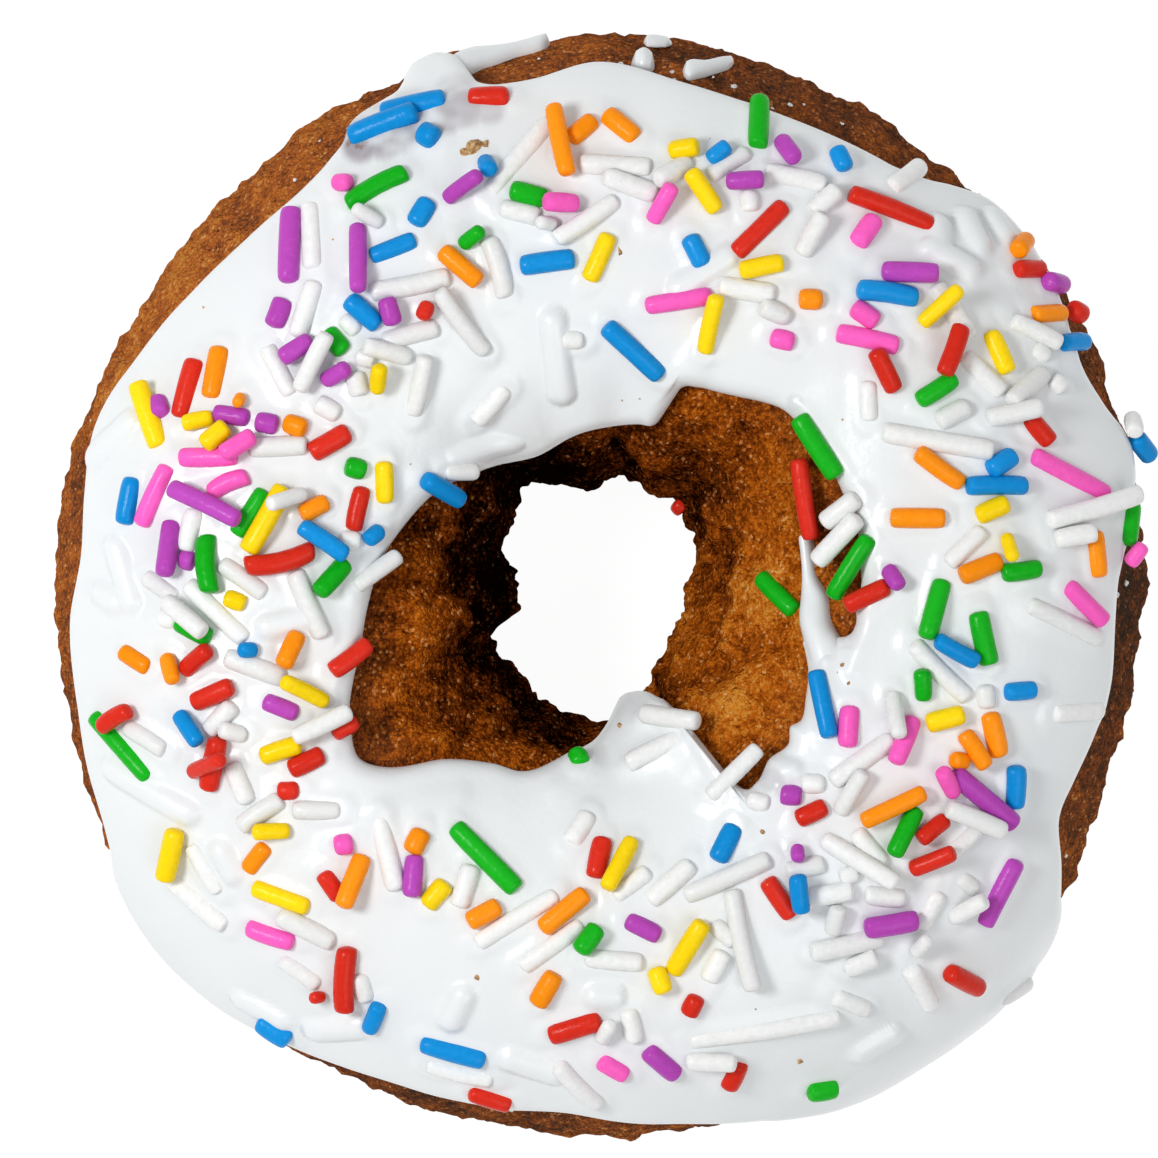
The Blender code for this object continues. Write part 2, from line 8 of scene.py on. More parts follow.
import bpy
import numpy as np
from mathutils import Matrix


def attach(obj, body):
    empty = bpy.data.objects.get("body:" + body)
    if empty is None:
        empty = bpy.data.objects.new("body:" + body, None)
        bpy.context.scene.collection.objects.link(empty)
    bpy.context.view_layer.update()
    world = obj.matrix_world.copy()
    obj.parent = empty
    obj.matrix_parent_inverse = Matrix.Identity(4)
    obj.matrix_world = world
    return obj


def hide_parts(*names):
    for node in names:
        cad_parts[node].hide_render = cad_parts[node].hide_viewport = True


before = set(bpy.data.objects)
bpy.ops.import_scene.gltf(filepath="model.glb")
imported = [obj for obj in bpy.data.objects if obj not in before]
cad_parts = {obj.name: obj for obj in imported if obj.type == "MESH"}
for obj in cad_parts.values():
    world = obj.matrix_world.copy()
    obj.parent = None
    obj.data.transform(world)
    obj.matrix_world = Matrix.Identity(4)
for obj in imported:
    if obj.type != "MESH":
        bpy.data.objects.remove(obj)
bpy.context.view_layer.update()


# The fried cake
# A ring of cake dough, fried brown, that stands on a flattened band under its thickest part.
# Its bare crust is craggy and grainy. Its colour holds painted shade with the brown of frying: darkest deep
# in the hole, darker on the hole's wall that faces away from the key light, and golden on the right wall,
# which faces it.

MM = 0.001
RIM_STATIONS_MM = [
    (0, 43.2), (14, 42.9), (24, 43.1), (41, 43.1), (49, 42.7), (56, 42.8), (64, 42.9), (73, 43.1),
    (86, 43.4), (94, 43.2), (98.5, 42.8), (102, 43.0), (105.5, 43.6), (109, 43.4), (112, 42.7),
    (119, 42.9), (124, 42.9), (132, 42.3), (150, 42.2), (162, 42.7), (185, 42.8), (197, 43.1),
    (209, 43.7), (245, 43.7), (256, 43.5), (268, 43.5), (282, 43.8), (305, 43.5), (327, 43.7),
    (333, 43.0), (338, 42.8), (354, 42.8),
]
HOLE_STATIONS_MM = [
    (0, 7.1), (10, 7.8), (20, 8.1), (28, 8.6), (37, 8.5), (45, 9.0), (57, 8.5), (68, 8.3), (77, 8.7),
    (84, 9.0), (94, 7.9), (105, 8.4), (118, 9.2), (129, 10.0), (139, 9.4), (147, 9.1), (155, 8.8),
    (163, 8.4), (171, 7.2), (180, 7.0), (197, 7.3), (203, 8.7), (208, 9.6), (228, 9.8), (240, 10.3),
    (252, 10.3), (266, 11.0), (280, 10.4), (298, 9.2), (301, 7.8), (313, 7.5), (325, 6.8), (343, 6.8),
]
BELT_HEIGHT = 0.0130
CROWN_RISE = 0.0150
BASE_RISE = 0.0140
CAKE_STEPS_ROUND = 700
CAKE_STEPS_ACROSS = 140
ALWAYS_ICED_DEGREES = (55, 92)
NARROWEST_DEGREES = (140, 205)
FLAT_BASE_DEGREES = 15
CRAG_FADE_DEGREES = 12
CRAG_SIZES = (0.0048, 0.0023, 0.0012, 0.0006)
CRAG_DEPTHS = (0.00042, 0.00040, 0.00030, 0.00020)
HOLE_ROUGHER = 0.5
SPARSER_UNDER_ICING = 0.25
CLOSER_IN_HOLE = 1.7
# The crags are smoother where a tongue of icing lies on the rim.
TONGUE_CLOCK = 101.5
TONGUE_HALF_CLOCK = 5
TONGUE_SECTION = 15
TONGUE_HALF_SECTION = 18
SMOOTHER_UNDER_TONGUE = 0.75


def cubic(t, span, values, slopes):
    """The cubic that goes from the first value to the second while t goes from 0 to 1, and leaves and
    arrives with the slopes given over the span."""
    near, far = 1 - 3 * t**2 + 2 * t**3, 3 * t**2 - 2 * t**3
    leave, arrive = (t - 2 * t**2 + t**3) * span, (t**3 - t**2) * span
    return near * values[0] + far * values[1] + leave * slopes[0] + arrive * slopes[1]


def closed_curve(stations):
    """The smooth closed curve through (clock, value) stations: cubic pieces whose slope at a station
    is the one between its two neighbours."""
    clocks, values = np.array(sorted(stations), float).T
    after, before = np.roll(clocks, -1), np.roll(clocks, 1)
    slopes = (np.roll(values, -1) - np.roll(values, 1)) / ((after - before) % 360)

    def at(clock):
        clock = np.asarray(clock, float) % 360
        here = (np.searchsorted(clocks, clock, side="right") - 1) % len(clocks)
        there = (here + 1) % len(clocks)
        span = (clocks[there] - clocks[here]) % 360
        t = ((clock - clocks[here]) % 360) / span
        return cubic(t, span, (values[here], values[there]), (slopes[here], slopes[there]))

    return at


def soft_noise(points, size, seed):
    """Smooth random heights from -1 to 1 at points: the corners of a lattice of cells of that size
    hold seeded values, and a point blends its cell's eight corners."""
    lattice = np.random.default_rng(seed).uniform(-1, 1, (16, 16, 16))
    cell = np.floor(points / size).astype(int)
    part = points / size - cell
    part = part * part * (3 - 2 * part)
    height = np.zeros(points.shape[:-1])
    for corner in np.ndindex(2, 2, 2):
        share = np.where(corner, part, 1 - part).prod(axis=-1)
        x, y, z = np.moveaxis((cell + corner) % 16, -1, 0)
        height += share * lattice[x, y, z]
    return height


rim_mm = closed_curve(RIM_STATIONS_MM)
hole_mm = closed_curve(HOLE_STATIONS_MM)


def tube(clock):
    """The dough's middle radius and half width at a clock."""
    rim, hole = rim_mm(clock) * MM, hole_mm(clock) * MM
    return (rim + hole) / 2, (rim - hole) / 2


def outward(clock, section):
    """The cake's outward direction, that of an ellipse's normal in the plane of the section."""
    half = tube(clock)[1]
    section = np.radians(section)
    rise = np.where(np.sin(section) > 0, CROWN_RISE, BASE_RISE)
    along, up = np.cos(section) / half, np.sin(section) / rise
    size = np.hypot(along, up)
    turn = np.radians(clock)
    return np.stack([along * np.cos(turn), along * np.sin(turn), up], axis=-1) / size[..., None]


def cake_point(clock, section, lift=0.0):
    """The point on the cake at a clock and a section, moved outward by lift: an ellipse on the tube's
    middle line, taller above the belt than below it."""
    middle, half = tube(clock)
    turn, tilt = np.radians(clock), np.radians(section)
    rise = np.where(np.sin(tilt) > 0, CROWN_RISE, BASE_RISE)
    reach = middle + half * np.cos(tilt)
    on_cake = np.stack([reach * np.cos(turn), reach * np.sin(turn), BELT_HEIGHT + rise * np.sin(tilt)], -1)
    return on_cake + outward(clock, section) * np.asarray(lift)[..., None]


def section_at(clock, reach_mm, lift=0.0):
    """The section angle whose point, lifted, is that far from the middle as seen from above."""
    middle, half = tube(clock)
    return np.degrees(np.arccos(np.clip((reach_mm * MM - middle) / (half + lift), -1, 1)))


def crust_relief(clock, section, bare):
    """Crags of four sizes, deeper on the hole's wall, and gone under the icing and on the band that the
    ring stands on."""
    places = cake_point(clock, section)
    relief = sum(
        soft_noise(places, size, seed) * depth
        for seed, (size, depth) in enumerate(zip(CRAG_SIZES, CRAG_DEPTHS), start=7)
    )
    in_hole = np.clip(-np.cos(np.radians(section)), 0, 1)
    from_base = np.abs((section + 270) % 360 - 180)
    off_base = np.clip(from_base / FLAT_BASE_DEGREES - 1, 0, 1)
    return relief * bare * off_base * (1 + HOLE_ROUGHER * in_hole)


def ring_skin(name, points):
    """A mesh object from a grid of points, round the ring by across it, that closes both ways."""
    number = np.arange(points.shape[0] * points.shape[1]).reshape(points.shape[:2])
    next_round = np.roll(number, -1, axis=0)
    quads = np.stack([number, next_round, np.roll(next_round, -1, 1), np.roll(number, -1, 1)], -1)
    return mesh_object(name, points, quads.reshape(-1, 4).tolist())


def mesh_object(name, points, faces):
    """An object at the origin whose mesh has these points and faces, shaded smooth."""
    mesh = bpy.data.meshes.new(name)
    mesh.from_pydata(points.reshape(-1, 3).tolist(), [], faces)
    mesh.shade_smooth()
    piece = bpy.data.objects.new(name, mesh)
    bpy.context.scene.collection.objects.link(piece)
    return piece


def write_on(piece, attribute, values):
    """Stores one number for each point of a piece, for its material to read."""
    layer = piece.data.attributes.new(attribute, "FLOAT", "POINT")
    layer.data.foreach_set("value", np.asarray(values, np.float32).ravel())


class Socket:
    """A value in a material. Arithmetic on it adds Math nodes, and node adds any other node."""

    def __init__(self, output):
        self.output = output

    def node(self, kind, settings=None, inputs=None, gives=0):
        """Adds a node of a kind: its settings first, then its sockets' values or links."""
        added = self.output.id_data.nodes.new("ShaderNode" + kind)
        for name, value in (settings or {}).items():
            setattr(added, name, value)
        for name, value in (inputs or {}).items():
            if isinstance(value, Socket):
                self.output.id_data.links.new(value.output, added.inputs[name])
            else:
                added.inputs[name].default_value = value
        return Socket(added.outputs[gives])

    def math(self, operation, first, second):
        return self.node("Math", {"operation": operation}, {0: first, 1: second})

    def __add__(self, other):
        return self.math("ADD", self, other)

    __radd__ = __add__

    def __sub__(self, other):
        return self.math("SUBTRACT", self, other)

    def __rsub__(self, other):
        return self.math("SUBTRACT", other, self)

    def __mul__(self, other):
        return self.math("MULTIPLY", self, other)

    __rmul__ = __mul__

    def between(self, low, high):
        """0 where the value is low or less, 1 where it is high or more, and smooth between."""
        limits = {"Value": self, "From Min": low, "From Max": high}
        return self.node("MapRange", {"interpolation_type": "SMOOTHSTEP"}, limits)

    def mix(self, low, high):
        """The first colour where the value is 0, the second where it is 1."""
        colours = {"Factor": self, 6: low, 7: high}
        return self.node("Mix", {"data_type": "RGBA", "clamp_factor": True}, colours, gives=2)

    def noise(self, size, detail=2.0, roughness=0.5):
        """Noise at this place, with features of about that size in metres."""
        shape = {"Vector": self, "Scale": 1 / size, "Detail": detail, "Roughness": roughness}
        return self.node("TexNoise", {}, shape)

    def bump(self, depth, under=None):
        """The surface direction over this height, which is in steps of depth."""
        inputs = {"Height": self, "Strength": 1.0, "Distance": depth}
        if under:
            inputs["Normal"] = under
        return self.node("Bump", {}, inputs)


def finish_of(piece, roughness, specular):
    """Gives a piece a new material of its own name, and returns its place and a function that feeds
    the shader's sockets."""
    material = bpy.data.materials.new(piece.name)
    material.use_nodes = True
    piece.data.materials.append(material)
    shader = material.node_tree.nodes["Principled BSDF"]
    shader.inputs["Roughness"].default_value = roughness
    shader.inputs["Specular IOR Level"].default_value = specular
    place = Socket(material.node_tree.nodes.new("ShaderNodeTexCoord").outputs["Object"])

    def feed(socket, value):
        material.node_tree.links.new(value.output, shader.inputs[socket])

    return place, feed


def written(place, attribute):
    """The number that write_on stored, as a value in a material."""
    return place.node("Attribute", {"attribute_name": attribute}, gives="Fac")


# The icing's two edges as seen from above. They are given here because they say where the crust is bare.
OUTER_EDGE_STATIONS_MM = [
    (0, 40.3), (3, 40.8), (6, 41.6), (9, 42.2), (13, 42.7), (17, 42.4), (20, 41.7), (25, 41.3),
    (33, 42.3), (40, 42.9), (45, 42.7), (49, 41.4), (52, 40.2), (56, 39.6), (70, 39.0), (80, 39.4),
    (90, 40.6), (98, 39.6), (103.5, 40.4), (105.3, 43.3), (109, 43.7), (111, 43.1), (113, 41.9),
    (118.5, 41.2), (121, 39.5), (126, 38.4), (135, 38.4), (143, 38.9), (149, 39.7), (155, 40.5),
    (162, 41.3), (170, 40.8), (177, 40.5), (184, 41.4), (193, 41.8), (198, 42.2), (203, 42.7),
    (207, 43.4), (211, 44.1), (221, 44.5), (230, 44.1), (237, 43.4), (246, 42.3), (254, 41.8),
    (260, 41.5), (266, 41.2), (271, 41.8), (278, 42.6), (285, 43.6), (292, 44.4), (300, 45.0),
    (312, 44.9), (319, 45.5), (325, 44.2), (329, 42.1), (333, 40.2), (337, 40.0), (342, 40.2),
    (348, 40.5), (355, 40.2),
]
INNER_EDGE_STATIONS_MM = [
    (0, 20.5), (6, 20.4), (12, 20.6), (20, 20.3), (25, 20.2), (32, 19.9), (40, 19.9), (44, 19.7),
    (48, 19.1), (53, 18.3), (58, 17.7), (64, 17.2), (67.5, 16.6), (69, 14.8), (70.5, 13.3), (76, 12.9),
    (85, 12.4), (95, 12.0), (113, 11.1), (125, 11.6), (138, 12.9), (150, 14.6), (163, 16.0),
    (173, 17.2), (184, 18.2), (195, 19.5), (201, 20.7), (206, 21.8), (211, 22.7), (216, 23.2),
    (221, 21.8), (228, 18.4), (238, 16.4), (248, 15.7), (258, 13.6), (266, 12.4), (271, 11.2),
    (276, 10.0), (282, 9.6), (289, 9.6), (294, 9.9), (299, 10.8), (301.5, 12.0), (303, 15.6),
    (304.4, 19.2), (308, 19.8), (314, 19.1), (319.5, 19.4), (323, 18.7), (326, 19.1), (331, 18.5),
    (337.5, 17.7), (342, 16.9), (344.5, 16.6), (346.5, 17.8), (348, 19.7), (351, 20.3), (355, 20.2),
]
GAP = 0.0006
ICING_THICKNESS = 0.0016
LIP_DEGREES = 6.0
HANG_DEGREES_PER_MM = 7.0

outer_edge_mm = closed_curve(OUTER_EDGE_STATIONS_MM)
inner_edge_mm = closed_curve(INNER_EDGE_STATIONS_MM)


def icing_edges(clock):
    """The section angles of the icing's outer and inner edge. A lip is a quarter round, which shows from
    above one thickness past its centre line, and what reaches past the cake hangs down it."""
    thickness_mm = ICING_THICKNESS / MM
    outer = section_at(clock, outer_edge_mm(clock) - thickness_mm, GAP) - LIP_DEGREES
    inner = section_at(clock, inner_edge_mm(clock) + thickness_mm, GAP) + LIP_DEGREES
    hang = np.clip(outer_edge_mm(clock) - rim_mm(clock), 0, None) * HANG_DEGREES_PER_MM
    return outer - hang, inner


def cake_sections(steps):
    """Section angles all round, far apart where the icing always hides the cake, and close together
    where the hole is narrowest."""
    angles = np.arange(-90, 270, 0.25)
    hidden = (angles > ALWAYS_ICED_DEGREES[0]) & (angles < ALWAYS_ICED_DEGREES[1])
    narrow = (angles > NARROWEST_DEGREES[0]) & (angles < NARROWEST_DEGREES[1])
    weight = np.where(hidden, SPARSER_UNDER_ICING, np.where(narrow, CLOSER_IN_HOLE, 1)).cumsum()
    return np.interp(np.arange(steps) / steps * weight[-1], weight, angles)


clock, section = np.meshgrid(
    np.arange(CAKE_STEPS_ROUND) * 360 / CAKE_STEPS_ROUND, cake_sections(CAKE_STEPS_ACROSS), indexing="ij"
)
outer, inner = icing_edges(clock)
bare = np.clip(np.maximum(outer - section, section - inner) / CRAG_FADE_DEGREES, 0, 1)
under_tongue = np.clip(2 - np.abs(clock - TONGUE_CLOCK) / TONGUE_HALF_CLOCK, 0, 1)
under_tongue = under_tongue * np.clip(2 - np.abs(section - TONGUE_SECTION) / TONGUE_HALF_SECTION, 0, 1)
relief = crust_relief(clock, section, bare) * (1 - SMOOTHER_UNDER_TONGUE * under_tongue)
crust_points = cake_point(clock, section, relief)
crust_points[..., 2] = np.clip(crust_points[..., 2], 0, None)
cake = ring_skin("fried_cake", crust_points)

# The crust's brownness and painted shade: 0 on pale gold crust and 1 where it is nearly black. On the hole's
# wall it
# holds painted shade as well: the wall is painted darker on the side that faces away from the key light, and
# darker still far down in the hole.
BROWNING_AND_SHADE_OF_WALL_STATIONS = [
    (0, 0.26), (30, 0.46), (60, 0.54), (90, 0.62), (120, 0.72), (150, 0.68), (180, 0.62), (210, 0.56),
    (240, 0.50), (270, 0.50), (300, 0.40), (330, 0.22),
]
# Painted shade, by clock, that darkens the wall further far down in the hole.
PAINTED_SHADE_FAR_DOWN_STATIONS = [
    (0, 0.16), (40, 0.24), (90, 0.26), (150, 0.50), (200, 0.46), (250, 0.36), (320, 0.12),
]
BROWNING_ON_RIM_STATIONS = [
    (0, 0.66), (45, 0.62), (80, 0.56), (110, 0.46), (125, 0.34), (150, 0.30), (175, 0.44), (220, 0.55),
    (300, 0.60),
]
FAR_DOWN_DEGREES = (128, 162)
BROWNING_VARIES = 0.10
BROWNING_PATCH_SIZE = 0.006
# How much paler a crag's top and how much darker its hollow is painted, as light and shade, per metre of
# relief.
PALER_PER_METRE_OF_CRAG = 240
far_from, far_to = FAR_DOWN_DEGREES
on_wall = np.clip(-np.cos(np.radians(section)) * 2, 0, 1)
far_down = np.clip((np.abs(section) - far_from) / (far_to - far_from), 0, 1)
wall_browning_and_shade = closed_curve(BROWNING_AND_SHADE_OF_WALL_STATIONS)(clock)
# The painted shade far down in the hole is added to the wall's brownness.
wall_browning_and_shade = wall_browning_and_shade + far_down * closed_curve(PAINTED_SHADE_FAR_DOWN_STATIONS)(clock)
browning_and_shade = on_wall * wall_browning_and_shade + (1 - on_wall) * closed_curve(BROWNING_ON_RIM_STATIONS)(clock)
browning_and_shade = browning_and_shade + BROWNING_VARIES * soft_noise(crust_points, BROWNING_PATCH_SIZE, seed=21)
# Crags that stand out are painted paler and their hollows darker: painted light and shade.
browning_and_shade = browning_and_shade - PALER_PER_METRE_OF_CRAG * relief
write_on(cake, "browning_and_shade", browning_and_shade)
write_on(cake, "on_wall", on_wall)

CRUST_COLOURS = [
    (0.00, (0.60, 0.235, 0.030, 1)), (0.28, (0.44, 0.105, 0.006, 1)), (0.55, (0.185, 0.038, 0.003, 1)),
    (0.80, (0.045, 0.0085, 0.001, 1)), (1.00, (0.003, 0.0006, 0.0002, 1)),
]
# Off the hole's wall, the crust's colour is mixed a little towards a greyer brown.
GREYER_RIM_COLOUR = (0.32, 0.22, 0.15, 1)
GREYER_ON_RIM = 0.12
# Pale specks on some grains: painted glints that stand in for the crust's highlights, since it has no
# specular, as well as paler grains.
GLINT_SPECK_COLOUR = (0.70, 0.40, 0.16, 1)
GLINT_SPECK_GRAINS = (0.80, 0.92)
GLINT_SPECK_STRENGTH = 0.5
# Grains, lumps and blotches of the crust: their sizes and depths, and how far they change its colour. The
# gaps between grains are painted darker as shade, and lumps and blotches paler where they rise and darker
# where they sink, which is painted light and shade along with the crust's own mottling.
GRAIN_SIZE, GRAIN_DEPTH = 0.00025, 0.00016
LUMP_SIZE, LUMP_DEPTH = 0.0009, 0.0004
BLOTCH_SIZE, BLOTCH_DEPTH = 0.0034, 0.0008
PAINTED_SHADE_BETWEEN_GRAINS = 0.25
GRAINS_VARY = 0.42
LUMPS_VARY = 0.60
BLOTCHES_VARY = 0.60
place, feed = finish_of(cake, roughness=0.8, specular=0.0)
lumps = place.noise(LUMP_SIZE, detail=3, roughness=0.6)
blotches = place.noise(BLOTCH_SIZE, detail=3, roughness=0.6)
cells = {"Vector": place, "Scale": 1 / GRAIN_SIZE}
from_grain = place.node("TexVoronoi", {}, cells, gives="Distance")
grain_tone = place.node("TexVoronoi", {}, cells, gives="Color") + 0
# Painted shade darkens the gaps between the grains.
browned_and_shaded = written(place, "browning_and_shade") + PAINTED_SHADE_BETWEEN_GRAINS * (from_grain - 0.5)
browned_and_shaded = browned_and_shaded - GRAINS_VARY * (grain_tone - 0.5)
# Lumps and blotches are paler where their bumps rise and darker where they sink: painted light and shade.
browned_and_shaded = browned_and_shaded - LUMPS_VARY * (lumps - 0.5) - BLOTCHES_VARY * (blotches - 0.5)
ramp = browned_and_shaded.node("ValToRGB", {}, {"Fac": browned_and_shaded})
colours = ramp.output.node.color_ramp
while len(colours.elements) < len(CRUST_COLOURS):
    colours.elements.new(0.5)
for stop, (position, colour) in zip(colours.elements, CRUST_COLOURS):
    stop.position = position
    stop.color = colour
rim_greying = (1 - written(place, "on_wall")) * GREYER_ON_RIM
# Painted glints, with paler grains, as pale specks.
specks = grain_tone.between(*GLINT_SPECK_GRAINS) * (1 - browned_and_shaded) * GLINT_SPECK_STRENGTH
feed("Base Color", specks.mix(rim_greying.mix(ramp, GREYER_RIM_COLOUR), GLINT_SPECK_COLOUR))
grain_bump = (1 - from_grain).bump(GRAIN_DEPTH)
feed("Normal", blotches.bump(BLOTCH_DEPTH, under=lumps.bump(LUMP_DEPTH, under=grain_bump)))
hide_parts("cake_ring")
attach(cake, "root")


# The icing
# White sugar icing that the ring was dipped in, set glossy with round lips and low waves. It has run
# over the rim at the lower right and into the hole at the bottom, and it is a mere film at the top left.

ICING_STEPS_ROUND = 720
ICING_STEPS_ACROSS = 118
UNDERSIDE_STEPS = 14
UNDERSIDE_LIFT = GAP / 3
EVENLY_SPACED = 0.6
WAVE_SIZE = 0.0085
WAVE_HEIGHT = 0.00035
RIPPLE_SIZE = 0.0031
RIPPLE_HEIGHT = 0.00009
STEEPER_CLOSER = 2.5
LIP_WIDTH = 0.0017
EDGE_FINENESS = 4
EDGE_REACH = 40
# Puffs are (clock, reach in mm, radius in mm, height in mm).
PUFFS_MM = [
    (288, 13.0, 4.5, 1.0), (283, 12.6, 2.6, 0.3), (297, 12.6, 2.6, 0.9), (300, 16.0, 3.2, 0.7),
    (222, 25.5, 4.0, 0.35), (262, 17.5, 4.5, 0.35), (118, 14.2, 3.0, 0.25), (312, 42.0, 6.0, 0.4),
    (200, 41.0, 5.0, 0.25), (67, 18.8, 2.2, 0.3), (111, 41.5, 5.0, -0.9), (105, 40.5, 4.0, -0.6),
    (118, 39.5, 3.5, -0.7), (346, 18.2, 3.0, -0.8),
]
# Ridges are (clock, reach in mm) at both ends, then width and height in mm.
RIDGES_MM = [
    ((352, 16.6), (342, 19.0), 0.55, 0.35), ((358, 21.4), (341, 21.0), 0.7, 0.30),
    ((226, 24.5), (236, 20.5), 1.0, 0.25), ((258, 17.6), (268, 15.5), 1.0, 0.25),
]
SPRINKLE_RADIUS = 0.00081


def plan_point(clock, reach_mm):
    """A place as seen from above, in metres."""
    turn = np.radians(clock)
    return np.stack([np.cos(turn), np.sin(turn)], axis=-1) * np.asarray(reach_mm)[..., None] * MM


def radii_away(plan, clock, reach_mm, radius_mm):
    """How many times its radius places are from a round patch's middle, as seen from above."""
    return np.linalg.norm(plan - plan_point(clock, reach_mm), axis=-1) / (radius_mm * MM)


def distance_to_line(places, start, end):
    """How far places are from the straight piece between two points, in as many dimensions as given."""
    along = end - start
    share = np.clip(((places - start) @ along) / max(along @ along, 1e-12), 0, 1)
    return np.linalg.norm(places - start - share[..., None] * along, axis=-1)


def icing_clocks(steps):
    """Clocks all round, closer together where an edge of the icing turns in or out steeply."""
    clocks = np.arange(0, 360, 0.05)
    steepness = sum(np.abs(np.gradient(edge(clocks), clocks)) for edge in (outer_edge_mm, inner_edge_mm))
    weight = (1 + STEEPER_CLOSER * steepness).cumsum()
    return np.interp(np.arange(steps) / steps * weight[-1], weight, clocks)


edge_clock = icing_clocks(ICING_STEPS_ROUND * EDGE_FINENESS)
edge_lines = [cake_point(edge_clock, edge) for edge in icing_edges(edge_clock)]


def lip_rise(clock, section):
    """0 at the icing's edges and 1 a lip's width from the nearest stretch of them, rising as a quarter
    round does."""
    place = cake_point(clock, section)
    here = np.searchsorted(edge_clock, clock % 360)
    nearest = np.full(place.shape[:-1], LIP_WIDTH)
    for line in edge_lines:
        for step in range(-EDGE_REACH, EDGE_REACH + 1):
            beside = line[(here + step) % len(edge_clock)]
            nearest = np.minimum(nearest, np.linalg.norm(place - beside, axis=-1))
    return np.sqrt(1 - (1 - nearest / LIP_WIDTH) ** 2)


def icing_lift(clock, section):
    """How high the icing's top lies above the cake: full inside and round over the lip, with low waves,
    and with its puffs and ridges."""
    lip = lip_rise(clock, section)
    on_cake = cake_point(clock, section)
    height = ICING_THICKNESS + soft_noise(on_cake, WAVE_SIZE, seed=3) * WAVE_HEIGHT
    height = height + soft_noise(on_cake, RIPPLE_SIZE, seed=4) * RIPPLE_HEIGHT
    plan = on_cake[..., :2]
    for puff_clock, reach_mm, radius_mm, height_mm in PUFFS_MM:
        far = radii_away(plan, puff_clock, reach_mm, radius_mm)
        height = height + height_mm * MM * np.clip(1 - far**2, 0, 1) ** 2
    for start, end, width_mm, height_mm in RIDGES_MM:
        far = distance_to_line(plan, plan_point(*start), plan_point(*end)) / (width_mm * MM)
        height = height + height_mm * MM * np.exp(-(far**2))
    return GAP + height * lip


